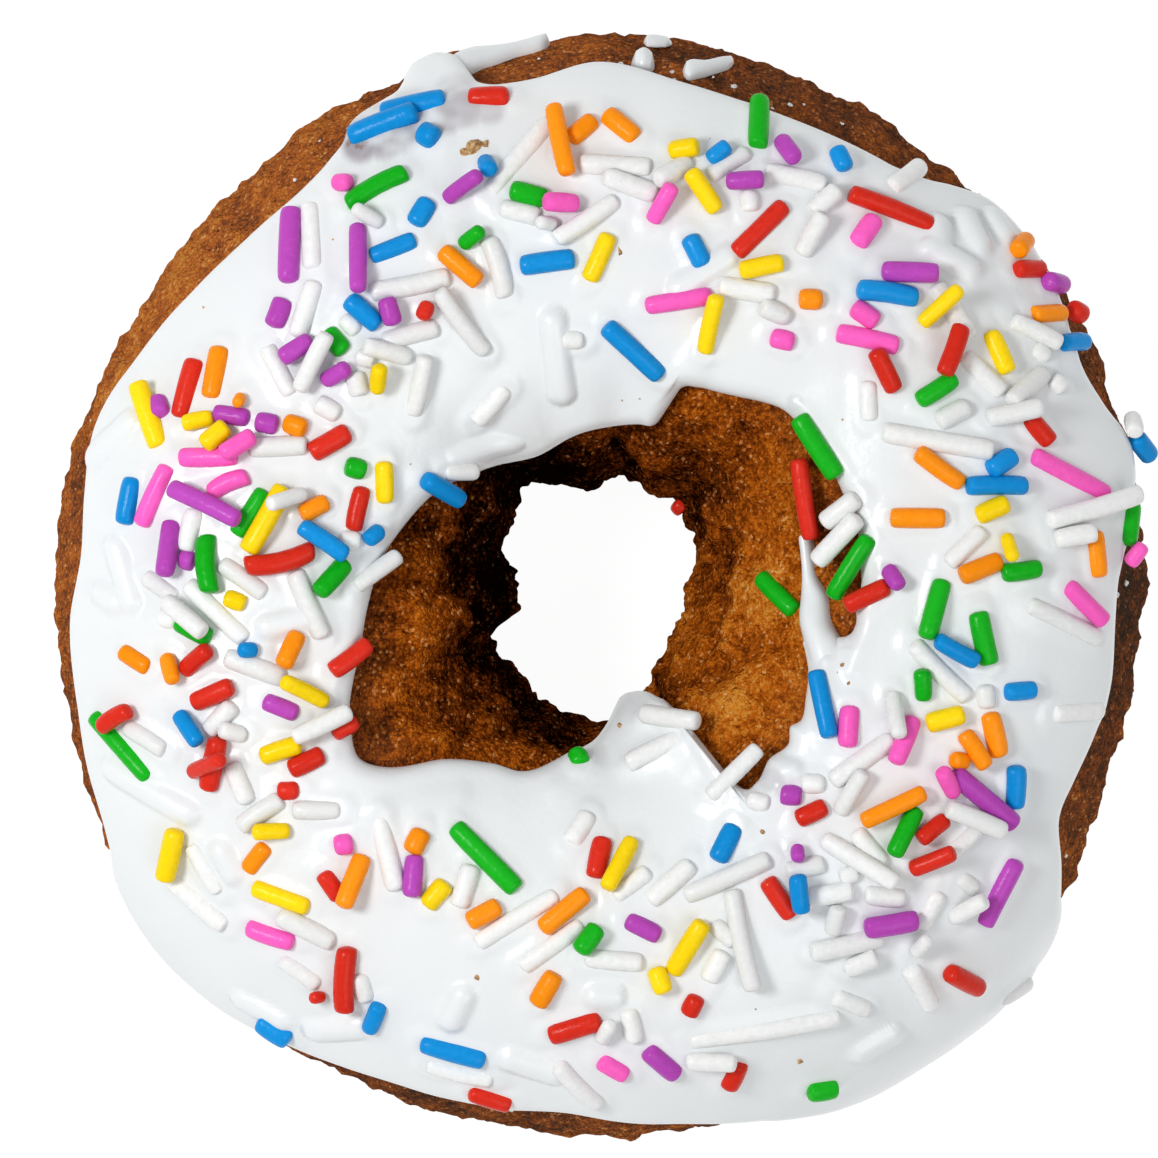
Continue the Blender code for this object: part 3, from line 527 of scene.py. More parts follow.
# The sprinkles' places are worked out here, because the icing rises round each one. Each is its two ends
# as seen from straight above, in steps right and down from the view's corner. A higher place is nearer
# the eye and looks farther out. A later group lies on an earlier one, and a coated one is under the icing.
SEEN_STEP_MM = 0.0789
STEP_HEIGHT = 0.014
EYE_HEIGHT = 0.80
VIEW_MIDDLE_SEEN = (579, 579)
RING_MIDDLE_SEEN = (600, 584)
SPRINKLES_SEEN = [
    ("coated", [
        (967, 219, 973, 246), (930, 251, 968, 268), (992, 219, 1000, 238), (938, 226, 935, 246),
        (90, 452, 139, 427), (114, 547, 136, 600), (103, 594, 119, 601), (107, 775, 195, 806),
        (222, 851, 234, 872), (316, 1034, 361, 1018), (244, 1001, 286, 1013), (511, 1056, 554, 1072),
        (463, 995, 452, 1019), (443, 446, 523, 443), (553, 320, 562, 394), (680, 288, 727, 257),
        (858, 1048, 890, 1033), (596, 996, 615, 996), (268, 627, 307, 618), (776, 768, 792, 772),
    ]),
    ("white", [
        (305, 202, 315, 269), (314, 281, 298, 337), (266, 347, 291, 394), (355, 373, 360, 395),
        (639, 700, 698, 728), (627, 762, 692, 732), (343, 318, 357, 332), (371, 292, 449, 277),
        (383, 342, 438, 328), (363, 345, 411, 358), (357, 357, 375, 361), (424, 355, 414, 416),
        (317, 403, 338, 415), (250, 447, 306, 445), (341, 541, 361, 541), (356, 586, 403, 556),
        (195, 509, 184, 550), (220, 563, 264, 594), (142, 577, 177, 598), (186, 584, 245, 640),
        (296, 572, 324, 637), (225, 657, 283, 678), (122, 730, 166, 749), (233, 705, 207, 732),
        (221, 728, 246, 736), (231, 765, 246, 803), (442, 469, 480, 476), (505, 386, 478, 425),
        (856, 498, 821, 524), (893, 738, 832, 782), (802, 783, 823, 783), (864, 771, 838, 814),
        (884, 432, 994, 450), (938, 422, 969, 406), (868, 382, 869, 420), (984, 530, 949, 564),
        (1025, 606, 1108, 638), (914, 644, 968, 698), (986, 686, 988, 708), (1050, 711, 1109, 714),
        (947, 857, 982, 830), (960, 878, 978, 892), (979, 891, 951, 922), (856, 832, 884, 865),
        (841, 878, 858, 873), (809, 898, 853, 890), (866, 894, 905, 900), (838, 906, 834, 935),
        (811, 950, 884, 940), (846, 971, 876, 956), (940, 892, 922, 930), (920, 928, 917, 958),
        (907, 966, 937, 1013), (997, 980, 1033, 1001), (835, 995, 869, 1015), (691, 1041, 841, 1025),
        (787, 872, 824, 864), (191, 846, 216, 893), (168, 884, 226, 924), (240, 827, 281, 799),
        (293, 810, 340, 810), (378, 815, 396, 889), (359, 974, 364, 1002), (281, 961, 318, 985),
        (471, 865, 459, 906), (477, 943, 557, 895), (522, 967, 582, 924), (586, 958, 642, 963),
        (571, 843, 588, 812), (614, 897, 648, 870), (650, 901, 691, 863), (714, 924, 734, 944),
        (723, 952, 708, 981), (732, 890, 753, 989), (685, 896, 769, 859), (748, 799, 768, 803),
        (628, 1010, 635, 1043), (428, 1067, 492, 1080), (560, 1060, 595, 1112), (491, 194, 547, 117),
        (501, 207, 539, 217), (536, 224, 557, 224), (556, 240, 616, 199), (580, 162, 650, 166),
        (604, 177, 656, 194), (656, 186, 690, 160), (709, 178, 748, 149), (749, 190, 750, 210),
        (766, 172, 826, 182), (837, 190, 812, 212), (823, 216, 801, 255), (720, 286, 774, 294),
        (761, 306, 788, 318), (487, 238, 504, 297), (439, 290, 487, 354), (562, 341, 583, 341),
        (889, 193, 925, 158), (1034, 349, 1049, 356), (937, 284, 971, 337), (964, 356, 1004, 391),
        (1004, 405, 1050, 371), (1053, 379, 1065, 388),
    ]),
    ("green", [
        (347, 203, 405, 171), (326, 331, 344, 352), (347, 466, 366, 471), (317, 593, 348, 562),
        (264, 491, 236, 534), (206, 535, 213, 592), (175, 622, 209, 638), (83, 722, 153, 774),
        (577, 748, 580, 766), (797, 418, 835, 477), (869, 538, 829, 597), (1140, 504, 1123, 543),
        (1004, 573, 1043, 568), (943, 580, 926, 638), (979, 613, 991, 664), (921, 670, 924, 700),
        (918, 809, 893, 855), (809, 1088, 837, 1094), (455, 825, 516, 889), (579, 951, 598, 926),
        (511, 189, 546, 198), (763, 91, 756, 149), (460, 246, 484, 231), (919, 401, 956, 377),
    ]),
    ("pink", [
        (334, 180, 352, 186), (178, 456, 236, 456), (226, 456, 257, 436), (208, 494, 247, 477),
        (137, 524, 167, 467), (849, 706, 847, 746), (914, 717, 894, 763), (1029, 460, 1117, 488),
        (1138, 545, 1126, 565), (1065, 587, 1108, 620), (245, 931, 293, 941), (335, 846, 352, 843),
        (601, 1060, 625, 1079), (544, 205, 579, 204), (673, 187, 651, 223), (771, 338, 793, 343),
        (877, 216, 857, 244), (854, 306, 877, 322), (838, 333, 898, 346),
    ]),
    ("red", [
        (192, 359, 180, 417), (312, 453, 349, 432), (364, 488, 355, 530), (246, 565, 314, 549),
        (333, 671, 371, 643), (191, 703, 232, 686), (181, 672, 213, 648), (104, 726, 139, 709),
        (221, 738, 207, 790), (186, 775, 236, 753), (334, 733, 357, 720), (290, 770, 323, 754),
        (799, 460, 808, 540), (845, 606, 887, 586), (1029, 417, 1053, 441), (910, 871, 952, 849),
        (920, 840, 948, 820), (946, 967, 985, 997), (797, 819, 825, 806), (767, 880, 792, 917),
        (278, 791, 298, 790), (322, 874, 339, 899), (350, 946, 344, 1011), (313, 991, 326, 997),
        (603, 836, 595, 877), (550, 1038, 600, 1020), (697, 997, 689, 1016), (470, 1092, 509, 1108),
        (738, 1061, 731, 1092), (469, 94, 508, 97), (736, 253, 785, 203), (429, 303, 422, 319),
        (848, 199, 935, 219), (1014, 274, 1047, 263), (1069, 312, 1087, 311), (959, 328, 940, 376),
        (874, 351, 895, 391),
    ]),
    ("blue", [
        (371, 256, 414, 239), (348, 299, 378, 326), (428, 199, 414, 224), (366, 540, 383, 530),
        (300, 526, 346, 556), (122, 523, 131, 478), (239, 650, 257, 650), (177, 713, 204, 742),
        (421, 477, 467, 504), (813, 670, 829, 736), (989, 471, 1016, 455), (966, 487, 1029, 485),
        (1128, 444, 1156, 450), (935, 639, 977, 662), (1006, 692, 1038, 691), (1016, 767, 1019, 809),
        (796, 873, 801, 911), (380, 1004, 367, 1034), (258, 1022, 290, 1039), (734, 825, 717, 860),
        (421, 1045, 484, 1062), (380, 107, 445, 102), (348, 132, 418, 117), (420, 128, 436, 140),
        (484, 157, 492, 178), (709, 160, 728, 146), (689, 236, 703, 265), (521, 266, 574, 259),
        (607, 326, 659, 381), (839, 146, 845, 169), (1058, 347, 1093, 337), (857, 291, 918, 296),
    ]),
    ("purple", [
        (287, 207, 292, 283), (356, 222, 362, 296), (282, 299, 273, 326), (283, 360, 313, 341),
        (322, 382, 350, 367), (387, 299, 394, 325), (154, 398, 165, 415), (213, 412, 248, 418),
        (256, 421, 277, 425), (171, 488, 244, 521), (179, 558, 194, 562), (169, 520, 171, 577),
        (264, 701, 297, 714), (886, 567, 901, 588), (953, 773, 1018, 826), (1016, 861, 990, 928),
        (864, 926, 917, 920), (781, 794, 800, 796), (797, 845, 798, 861), (415, 856, 412, 896),
        (627, 920, 659, 936), (648, 1049, 676, 1080), (443, 200, 485, 180), (726, 183, 762, 183),
        (782, 135, 792, 166), (1039, 289, 1069, 279), (881, 272, 936, 275),
    ]),
    ("orange", [
        (217, 346, 211, 397), (241, 394, 240, 408), (285, 422, 306, 429), (302, 515, 328, 502),
        (299, 633, 283, 667), (117, 653, 149, 667), (164, 655, 179, 682), (891, 518, 944, 518),
        (917, 452, 963, 484), (1096, 532, 1102, 576), (961, 576, 1002, 560), (951, 759, 969, 763),
        (964, 733, 986, 767), (990, 714, 1002, 757), (862, 821, 924, 792), (266, 846, 246, 871),
        (363, 855, 344, 906), (423, 830, 412, 852), (469, 922, 499, 905), (542, 929, 586, 892),
        (555, 974, 537, 1006), (570, 139, 593, 116), (554, 107, 568, 181), (607, 110, 635, 138),
        (442, 250, 479, 283), (800, 299, 822, 299), (1032, 236, 1012, 255), (1030, 319, 1070, 307),
    ]),
    ("yellow", [
        (379, 363, 377, 394), (135, 384, 163, 446), (184, 424, 213, 418), (206, 446, 229, 427),
        (384, 463, 387, 503), (284, 487, 248, 551), (225, 597, 244, 604), (280, 680, 330, 704),
        (261, 757, 300, 744), (978, 516, 1008, 503), (1007, 532, 1008, 563), (928, 724, 964, 714),
        (183, 827, 166, 877), (254, 831, 290, 831), (251, 890, 308, 907), (446, 883, 427, 906),
        (632, 836, 607, 891), (703, 921, 672, 974), (655, 968, 664, 992), (669, 150, 698, 149),
        (689, 173, 717, 211), (740, 271, 783, 262), (718, 294, 704, 354), (609, 235, 589, 280),
        (919, 326, 957, 291), (992, 331, 1008, 372),
    ]),
    ("pink", [(646, 307, 711, 296), (938, 768, 957, 797)]),
    ("white", [
        (355, 212, 384, 226), (330, 336, 300, 392), (266, 506, 309, 492), (293, 738, 350, 711),
        (168, 600, 212, 632), (158, 618, 177, 620), (1009, 325, 1060, 341), (985, 419, 1039, 408),
        (1119, 434, 1140, 418), (1040, 521, 1138, 495), (1053, 540, 1093, 533), (892, 690, 899, 739),
        (943, 805, 1001, 830), (822, 838, 895, 882), (611, 1013, 601, 1044), (686, 1060, 735, 1059),
        (278, 916, 333, 943), (859, 518, 813, 562),
    ]),
]
ON_THE_CRUST_SEEN = [
    ("green", [(755, 578, 800, 610)]),
    ("red", [(681, 499, 681, 511)]),
    ("white", [(757, 746, 709, 795)]),
]
# A bent one's first end, and how far its middle stands to the left of the line between its ends, in steps.
BENT = {
    (246, 565): -8, (206, 535): -5, (487, 238): 5, (350, 946): -4, (104, 726): 3, (208, 494): 3,
    (439, 290): -3, (347, 203): 3, (1016, 861): -3, (477, 943): 2,
}
# A thick one's first end, and how many times as thick as the rest it is.
THICKER = {
    (380, 107): 1.22, (348, 132): 1.18, (420, 128): 1.30, (469, 94): 1.12, (484, 157): 1.18,
    (428, 199): 1.18, (607, 110): 1.10, (1128, 444): 1.15, (258, 1022): 1.12, (421, 477): 1.12,
}


def plan_seen(seen):
    """The places in mm from the ring's middle, right and up, of places on the icing that are seen there.
    A place's height sets its distance from the eye, so both are found by going round a few times."""
    lift = GAP + ICING_THICKNESS
    eye = np.subtract(VIEW_MIDDLE_SEEN, RING_MIDDLE_SEEN) * SEEN_STEP_MM * [1, -1]
    from_eye = (seen - VIEW_MIDDLE_SEEN) * SEEN_STEP_MM * [1, -1]
    height = np.full(len(seen), STEP_HEIGHT)
    for _ in range(4):
        plan = eye + from_eye * ((EYE_HEIGHT - height) / (EYE_HEIGHT - STEP_HEIGHT))[:, None]
        clock, reach_mm = clock_and_reach(plan)
        height = cake_point(clock, section_at(clock, reach_mm, lift), lift)[:, 2]
    return plan


def clock_and_reach(plan):
    """The clock and reach in mm of places in mm from the ring's middle."""
    return np.degrees(np.arctan2(plan[..., 1], plan[..., 0])), np.hypot(plan[..., 0], plan[..., 1])


groups = SPRINKLES_SEEN + ON_THE_CRUST_SEEN
group_of = np.repeat([colour for colour, ends in groups], [len(ends) for colour, ends in groups])
is_coated = group_of == "coated"
colour_of = np.where(is_coated, "white", group_of)
ends = np.concatenate([np.array(ends, float) for colour, ends in groups])
first, last = plan_seen(ends[:, :2]), plan_seen(ends[:, 2:])
sprinkle_clock, sprinkle_reach = clock_and_reach((first + last) / 2)
heading, length_mm = clock_and_reach(last - first)
bend = np.array([BENT.get((right, down), 0) for right, down in ends[:, :2].tolist()]) * SEEN_STEP_MM * MM
thicker = np.array([THICKER.get((right, down), 1.0) for right, down in ends[:, :2].tolist()])
half_length = length_mm * MM / 2
WHITE_SUNK_SHARE = 0.40
COLOURED_SUNK_SHARE = 0.30
COATED_SUNK_SHARE = 0.80
SUNK_SHARE_VARIES = 0.10
sunk_share = np.where(colour_of == "white", WHITE_SUNK_SHARE, COLOURED_SUNK_SHARE)
chance = np.random.default_rng(31)
sunk_share = sunk_share + chance.uniform(-SUNK_SHARE_VARIES, SUNK_SHARE_VARIES, len(ends))
sunk_share = np.where(is_coated, COATED_SUNK_SHARE, sunk_share)

# Each sprinkle lies on the icing under it, or as high as the icing just inside a lip that it passes. One
# that is clear of the icing lies on the crust.
sprinkle_section = section_at(sprinkle_clock, sprinkle_reach, GAP + ICING_THICKNESS)
outer, inner = icing_edges(sprinkle_clock)
past_lips = np.maximum(outer - sprinkle_section, sprinkle_section - inner) / LIP_DEGREES
inside_lips = np.clip(sprinkle_section, outer + LIP_DEGREES, inner - LIP_DEGREES)
bed = icing_lift(sprinkle_clock, inside_lips) * np.clip(2 - past_lips, 0, 1)
sprinkle_lift = bed + SPRINKLE_RADIUS * (1 - 2 * sunk_share)
sprinkle_section = section_at(sprinkle_clock, sprinkle_reach, sprinkle_lift)
sprinkle_centre = cake_point(sprinkle_clock, sprinkle_section, sprinkle_lift)
up = outward(sprinkle_clock, sprinkle_section)
flat = np.stack([np.cos(np.radians(heading)), np.sin(np.radians(heading)), 0 * heading], axis=-1)
axis = flat - up * (flat * up).sum(-1, keepdims=True)
axis /= np.linalg.norm(axis, axis=-1, keepdims=True)

# One that crosses an earlier one leans on it: the end nearer to the crossing is raised.
LEAN_MOST = 0.0011
PLACES_ALONG = 9
along_rod = np.linspace(-1, 1, PLACES_ALONG)
for this in range(1, len(ends)):
    rod = sprinkle_centre[this] + np.outer(along_rod * half_length[this], axis[this])
    near = np.linalg.norm(sprinkle_centre[:this] - sprinkle_centre[this], axis=-1)
    for other in np.flatnonzero((near < half_length[:this] + half_length[this]) & ~is_coated[:this]):
        reach = axis[other] * half_length[other]
        apart = distance_to_line(rod, sprinkle_centre[other] - reach, sprinkle_centre[other] + reach)
        closest = int(apart.argmin())
        overlap = np.clip(1 - apart[closest] / (2 * SPRINKLE_RADIUS), 0, 1)
        side = np.sign(closest - PLACES_ALONG // 2) or 1
        rise = LEAN_MOST * overlap
        sprinkle_centre[this] += up[this] * rise
        axis[this] += up[this] * side * rise / half_length[this]
        axis[this] /= np.linalg.norm(axis[this])
        rod = sprinkle_centre[this] + np.outer(along_rod * half_length[this], axis[this])

# The skin goes over the top from the outer edge to the inner one, closer together at both, and back below.
clock = icing_clocks(ICING_STEPS_ROUND)
outer, inner = icing_edges(clock)
evenly = np.linspace(0, 1, ICING_STEPS_ACROSS)
closer_at_edges = (1 - np.cos(np.linspace(0, np.pi, ICING_STEPS_ACROSS))) / 2
across_top = EVENLY_SPACED * evenly + (1 - EVENLY_SPACED) * closer_at_edges
across_underside = np.linspace(1, 0, UNDERSIDE_STEPS + 2)[1:-1]
across = np.concatenate([across_top, across_underside])
section = outer[:, None] + (inner - outer)[:, None] * across
clock = np.broadcast_to(clock[:, None], section.shape)
is_top = np.arange(len(across)) < ICING_STEPS_ACROSS
icing_top = icing_lift(clock, section)

# The icing climbs a little round each sprinkle, and lies over the coated ones in lumps.
MENISCUS_HEIGHT = 0.00024
MENISCUS_WIDTH = 0.00055
COATED_HEIGHT = 0.00085
COATED_RADIUS = 0.00125
COATED_BLUNTNESS = 0.8
surface = cake_point(clock, section, icing_top)
climb = np.zeros(section.shape)
for centre, line, half, coated in zip(sprinkle_centre, axis, half_length, is_coated):
    close = np.linalg.norm(surface - centre, axis=-1) < half + 3 * COATED_RADIUS
    far = distance_to_line(surface[close], centre - line * half, centre + line * half)
    if coated:
        rise = COATED_HEIGHT * np.clip(1 - (far / COATED_RADIUS) ** 2, 0, 1) ** COATED_BLUNTNESS
    else:
        rise = MENISCUS_HEIGHT * np.exp(-(np.clip(far - SPRINKLE_RADIUS, 0, None) / MENISCUS_WIDTH) ** 2)
    climb[close] = np.maximum(climb[close], rise)
outer, inner = icing_edges(clock)
from_lip = np.clip(np.minimum(section - outer, inner - section) / LIP_DEGREES, 0, 1)
lift = np.where(is_top, icing_top + climb * from_lip, UNDERSIDE_LIFT)
icing = ring_skin("icing", cake_point(clock, section, lift))

# Thin places are (clock, reach in mm, radius in mm, share of the crust that shows through).
THIN_PLACES_MM = [
    (118.7, 38.9, 1.7, 1.0), (116.1, 38.0, 1.5, 0.9), (113.7, 37.8, 1.4, 0.9), (118.9, 40.3, 1.5, 0.8),
    (109.0, 38.3, 1.9, 0.9), (105.9, 38.4, 1.8, 0.7), (103.1, 37.8, 1.4, 0.5), (116.5, 41.0, 1.8, 0.5),
    (106.5, 39.8, 2.0, 0.4), (111.5, 39.6, 2.2, 0.5), (43, 20.6, 0.8, 0.3), (311, 20.2, 1.2, 0.4),
    (306, 20.6, 1.0, 0.3),
]
THIN_SHARPNESS = 1.6
plan = surface[..., :2]
thin = np.zeros(section.shape)
for thin_clock, reach_mm, radius_mm, shows_through in THIN_PLACES_MM:
    far = radii_away(plan, thin_clock, reach_mm, radius_mm)
    thin = np.maximum(thin, shows_through * np.clip(THIN_SHARPNESS * (1 - far**2), 0, 1))
write_on(icing, "thin", thin * is_top)

ICING_COLOUR = (0.755, 0.78, 0.79, 1)
ICING_FINISH = {"roughness": 0.28, "specular": 0.5}
PORE_SIZE, PORE_DEPTH = 0.0006, 0.00003
# The film is strong where noise of its patch size is high in the range, and crumbs show through it.
FILM_COLOUR = (0.37, 0.345, 0.37, 1)
FILM_PATCH_SIZE, FILM_RANGE = 0.0025, (0.15, 0.55)
CRUMB_IN_FILM_COLOUR = (0.26, 0.15, 0.11, 1)
CRUMB_IN_FILM_SIZE, CRUMB_IN_FILM_RANGE = 0.0009, (0.50, 0.66)
CRUMB_IN_FILM_STRENGTH = 0.8
place, feed = finish_of(icing, **ICING_FINISH)
patches = place.noise(FILM_PATCH_SIZE, detail=1)
film = written(place, "thin") * patches.between(*FILM_RANGE)
crumbs_under = written(place, "thin") * place.noise(CRUMB_IN_FILM_SIZE, detail=2)
crumbs_under = crumbs_under.between(*CRUMB_IN_FILM_RANGE) * CRUMB_IN_FILM_STRENGTH
feed("Base Color", film.mix(ICING_COLOUR, crumbs_under.mix(FILM_COLOUR, CRUMB_IN_FILM_COLOUR)))
feed("Normal", place.noise(PORE_SIZE, detail=2).bump(PORE_DEPTH))
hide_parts("icing_with_sprinkles")
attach(icing, "root")


# The threads and drops of icing
# Where the icing ran, it left a thread past the bare gap beside the hole, a tongue along the top rim,
# and a drip, a drop and a flake on the crust there. They are flat on the crust and round on top.

# Threads are (clock, near and far edge's reach in mm, height in mm) from end to end.
THREADS_MM = {
    "thread_beside_the_hole": [
        (14, 16.2, 16.8, 0.9), (12, 16.0, 16.9, 1.0), (3, 15.9, 16.9, 1.1), (-3, 15.8, 17.7, 1.3),
        (-9.5, 15.9, 18.3, 1.8), (-15, 16.5, 19.9, 2.2), (-20, 17.4, 20.6, 2.3), (-27, 18.4, 20.9, 2.1),
        (-33, 18.9, 20.9, 1.7), (-38, 19.4, 20.8, 1.3),
    ],
    "tongue_on_the_rim": [
        (108, 41.0, 42.1, 0.8), (106, 41.0, 42.5, 1.0), (104.4, 41.1, 42.8, 1.1),
        (102.8, 41.4, 42.8, 1.1), (101, 41.6, 42.6, 1.05), (98.7, 41.9, 42.75, 1.0),
        (96.4, 42.2, 43.2, 1.05), (95.3, 42.6, 43.4, 0.95),
    ],
    "drip_on_the_rim": [
        (80.9, 40.1, 40.9, 0.8), (80.0, 39.8, 41.2, 1.1), (78.6, 40.4, 41.3, 1.0), (77.0, 41.1, 41.9, 0.9),
        (75.6, 41.8, 42.4, 0.7),
    ],
    "drop_on_the_rim": [(86.6, 40.1, 41.0, 1.0), (85.3, 39.8, 41.3, 1.6), (84.0, 40.1, 41.0, 1.0)],
    "flake_on_the_rim": [(85.4, 42.4, 43.2, 0.5), (84.2, 42.4, 43.3, 0.65), (82.4, 42.6, 43.2, 0.5)],
}
THREAD_STEPS = 60
THREAD_SIDES = 20
FULLNESS = 0.65
FOOT_DEPTH = 0.25
END_ROUNDER = 3
NARROWEST_END = 0.02
SHORT_OF_RIM_MM = 0.35
DULLER_ICING_COLOUR = (0.74, 0.76, 0.77, 1)
DULL_PATCH_SIZE, DULL_RANGE = 0.0012, (0.3, 0.7)


def quads_between(rings, sides):
    """The points' numbers, ring by ring, and the quads between each ring and the next."""
    number = np.arange(rings * sides).reshape(rings, sides)
    around = np.roll(number, -1, axis=1)
    quads = np.stack([number[:-1], around[:-1], around[1:], number[1:]], -1)
    return number, quads.reshape(-1, 4).tolist()


def thread_skin(stations):
    """Points and faces of one thread: a full round top over a flat foot, from the near to the far edge,
    carried along a smooth path, with round ends."""
    stations = np.array(stations, float)
    steps = np.linspace(0, len(stations) - 1, THREAD_STEPS)
    knots = np.clip(steps.astype(int), 0, len(stations) - 2)
    slopes = np.gradient(stations, axis=0)
    values, slopes = (stations[knots], stations[knots + 1]), (slopes[knots], slopes[knots + 1])
    clock, near_mm, far_mm, height_mm = cubic((steps - knots)[:, None], 1, values, slopes).T
    far_mm = np.minimum(far_mm, rim_mm(clock) - SHORT_OF_RIM_MM)
    near_edge = cake_point(clock, section_at(clock, near_mm))
    far_edge = cake_point(clock, section_at(clock, far_mm))
    up = outward(clock, section_at(clock, (near_mm + far_mm) / 2))
    from_end = np.minimum(steps, steps[::-1])
    end_share = np.sqrt(np.clip(from_end * END_ROUNDER, NARROWEST_END, 1))[:, None]
    turn = np.linspace(0, 2 * np.pi, THREAD_SIDES, endpoint=False)
    wide = np.cos(turn) * end_share
    profile = np.where(np.sin(turn) > 0, 1, -FOOT_DEPTH) * np.abs(np.sin(turn)) ** FULLNESS
    tall = profile * end_share * height_mm[:, None] * MM
    middle, half_width = (far_edge + near_edge) / 2, (far_edge - near_edge) / 2
    points = middle[:, None] + half_width[:, None] * wide[..., None] + up[:, None] * tall[..., None]
    number, quads = quads_between(THREAD_STEPS, THREAD_SIDES)
    return points.reshape(-1, 3), quads + [number[0][::-1].tolist(), number[-1].tolist()]


def joined(parts):
    """The points and faces of several shapes as those of one."""
    points, faces, count = [], [], 0
    for part_points, part_faces in parts:
        points.append(part_points)
        faces += [[corner + count for corner in face] for face in part_faces]
        count += len(part_points)
    return np.concatenate(points), faces


threads = mesh_object("icing_threads", *joined([thread_skin(rows) for rows in THREADS_MM.values()]))
place, feed = finish_of(threads, **ICING_FINISH)
duller = place.noise(DULL_PATCH_SIZE).between(*DULL_RANGE)
feed("Base Color", duller.mix(ICING_COLOUR, DULLER_ICING_COLOUR))
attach(threads, "root")


# The sprinkles
# Short rods of coloured sugar, pressed out and broken to length, so that each is a little bent and
# uneven, with one end rounder than the other. They lie where they fell, part sunk in the icing.

SPRINKLE_COLOURS = {
    "white": (0.84, 0.85, 0.84, 1), "red": (0.68, 0.022, 0.008, 1), "orange": (1.00, 0.29, 0.001, 1),
    "yellow": (1.00, 0.70, 0.001, 1), "green": (0.003, 0.43, 0.008, 1), "blue": (0.001, 0.27, 0.69, 1),
    "purple": (0.48, 0.062, 0.47, 1), "pink": (0.98, 0.12, 0.54, 1),
}
SPRINKLE_SIDES = 8
RING_FROM_END_MM = np.array([0.0, 0.14, 0.5])
RING_WIDTHS = np.array([0.62, 0.92, 1.0])
SHORT_HALF_LENGTH = 0.0008
END_WIDTHS = (0.75, 1.2)
ROD_WIDTHS = (0.90, 1.08)
POLE_OUT = 0.00008
BEND_MOST = 0.05
DROOP_RADIUS = 0.030
UNEVEN = 0.05
# Smoothing shrinks a rod, so that it starts longer by this at each end, and this many times as thick.
END_LOST = 0.00006
SMOOTHING_LOST = 1.08
PALER_BY = 0.006
DEEPER_TO = 0.86
TINT_SHARE = 0.35
SHADE_RANGE = (0.25, 0.80)
MOTTLE_SIZE, MOTTLE_DEPTH = 0.0005, 0.00005
SMOOTHEST = 0.16
ROUGHER_IN_MOTTLE = 0.18


def closed_at_poles(rings, sides, count):
    """The faces of a number of shapes alike, each of rings of points with a pole at both ends. A shape's
    points are its rings, then its first and its last pole."""
    number, quads = quads_between(rings, sides)
    around = np.roll(number, -1, axis=1)
    first, last = number.size, number.size + 1
    caps = [[first, b, a] for a, b in zip(number[0].tolist(), around[0].tolist())]
    caps += [[last, a, b] for a, b in zip(number[-1].tolist(), around[-1].tolist())]
    starts = range(0, count * (last + 1), last + 1)
    return [[corner + start for corner in face] for start in starts for face in quads + caps]


def sprinkle_rods(centre, line, above, half, bend, thicker, rng):
    """Points and faces of a set of sprinkles: seven rings of eight points each along a bent line, the
    end rings drawn in, and a point to close each end."""
    count = len(half)
    half = half + END_LOST
    left = -half[:, None] + RING_FROM_END_MM * MM * np.clip(half / SHORT_HALF_LENGTH, 0, 1)[:, None]
    along = np.concatenate([left, np.zeros((count, 1)), -left[:, ::-1]], axis=1)
    widths = np.concatenate([RING_WIDTHS, [1.0], RING_WIDTHS[::-1]])
    blunt = rng.uniform(*END_WIDTHS, (count, 2))
    width = np.tile(widths, (count, 1))
    width[:, 0] *= blunt[:, 0]
    width[:, -1] *= blunt[:, 1]
    width = width * rng.uniform(*ROD_WIDTHS, (count, 1)) * thicker[:, None] * SMOOTHING_LOST
    side = np.cross(above, line)
    above = np.cross(line, side)
    bend = bend + rng.uniform(-BEND_MOST, BEND_MOST, count) * half
    arch = 1 - (along / half[:, None]) ** 2
    path = centre[:, None] + line[:, None] * along[..., None]
    path = path + side[:, None] * (bend[:, None] * arch)[..., None]
    path = path - above[:, None] * (along**2 / (2 * DROOP_RADIUS))[..., None]
    turn = np.linspace(0, 2 * np.pi, SPRINKLE_SIDES, endpoint=False)
    size = SPRINKLE_RADIUS * width[..., None] * rng.uniform(1 - UNEVEN, 1 + UNEVEN, (*along.shape, len(turn)))
    spokes = side[:, None, None] * np.cos(turn)[:, None] + above[:, None, None] * np.sin(turn)[:, None]
    rings = path[:, :, None] + spokes * size[..., None]
    poles = path[:, [0, -1]] + line[:, None] * np.array([-1, 1])[:, None] * POLE_OUT
    points = np.concatenate([rings.reshape(count, -1, 3), poles], axis=1)
    return points.reshape(-1, 3), closed_at_poles(along.shape[1], SPRINKLE_SIDES, count)


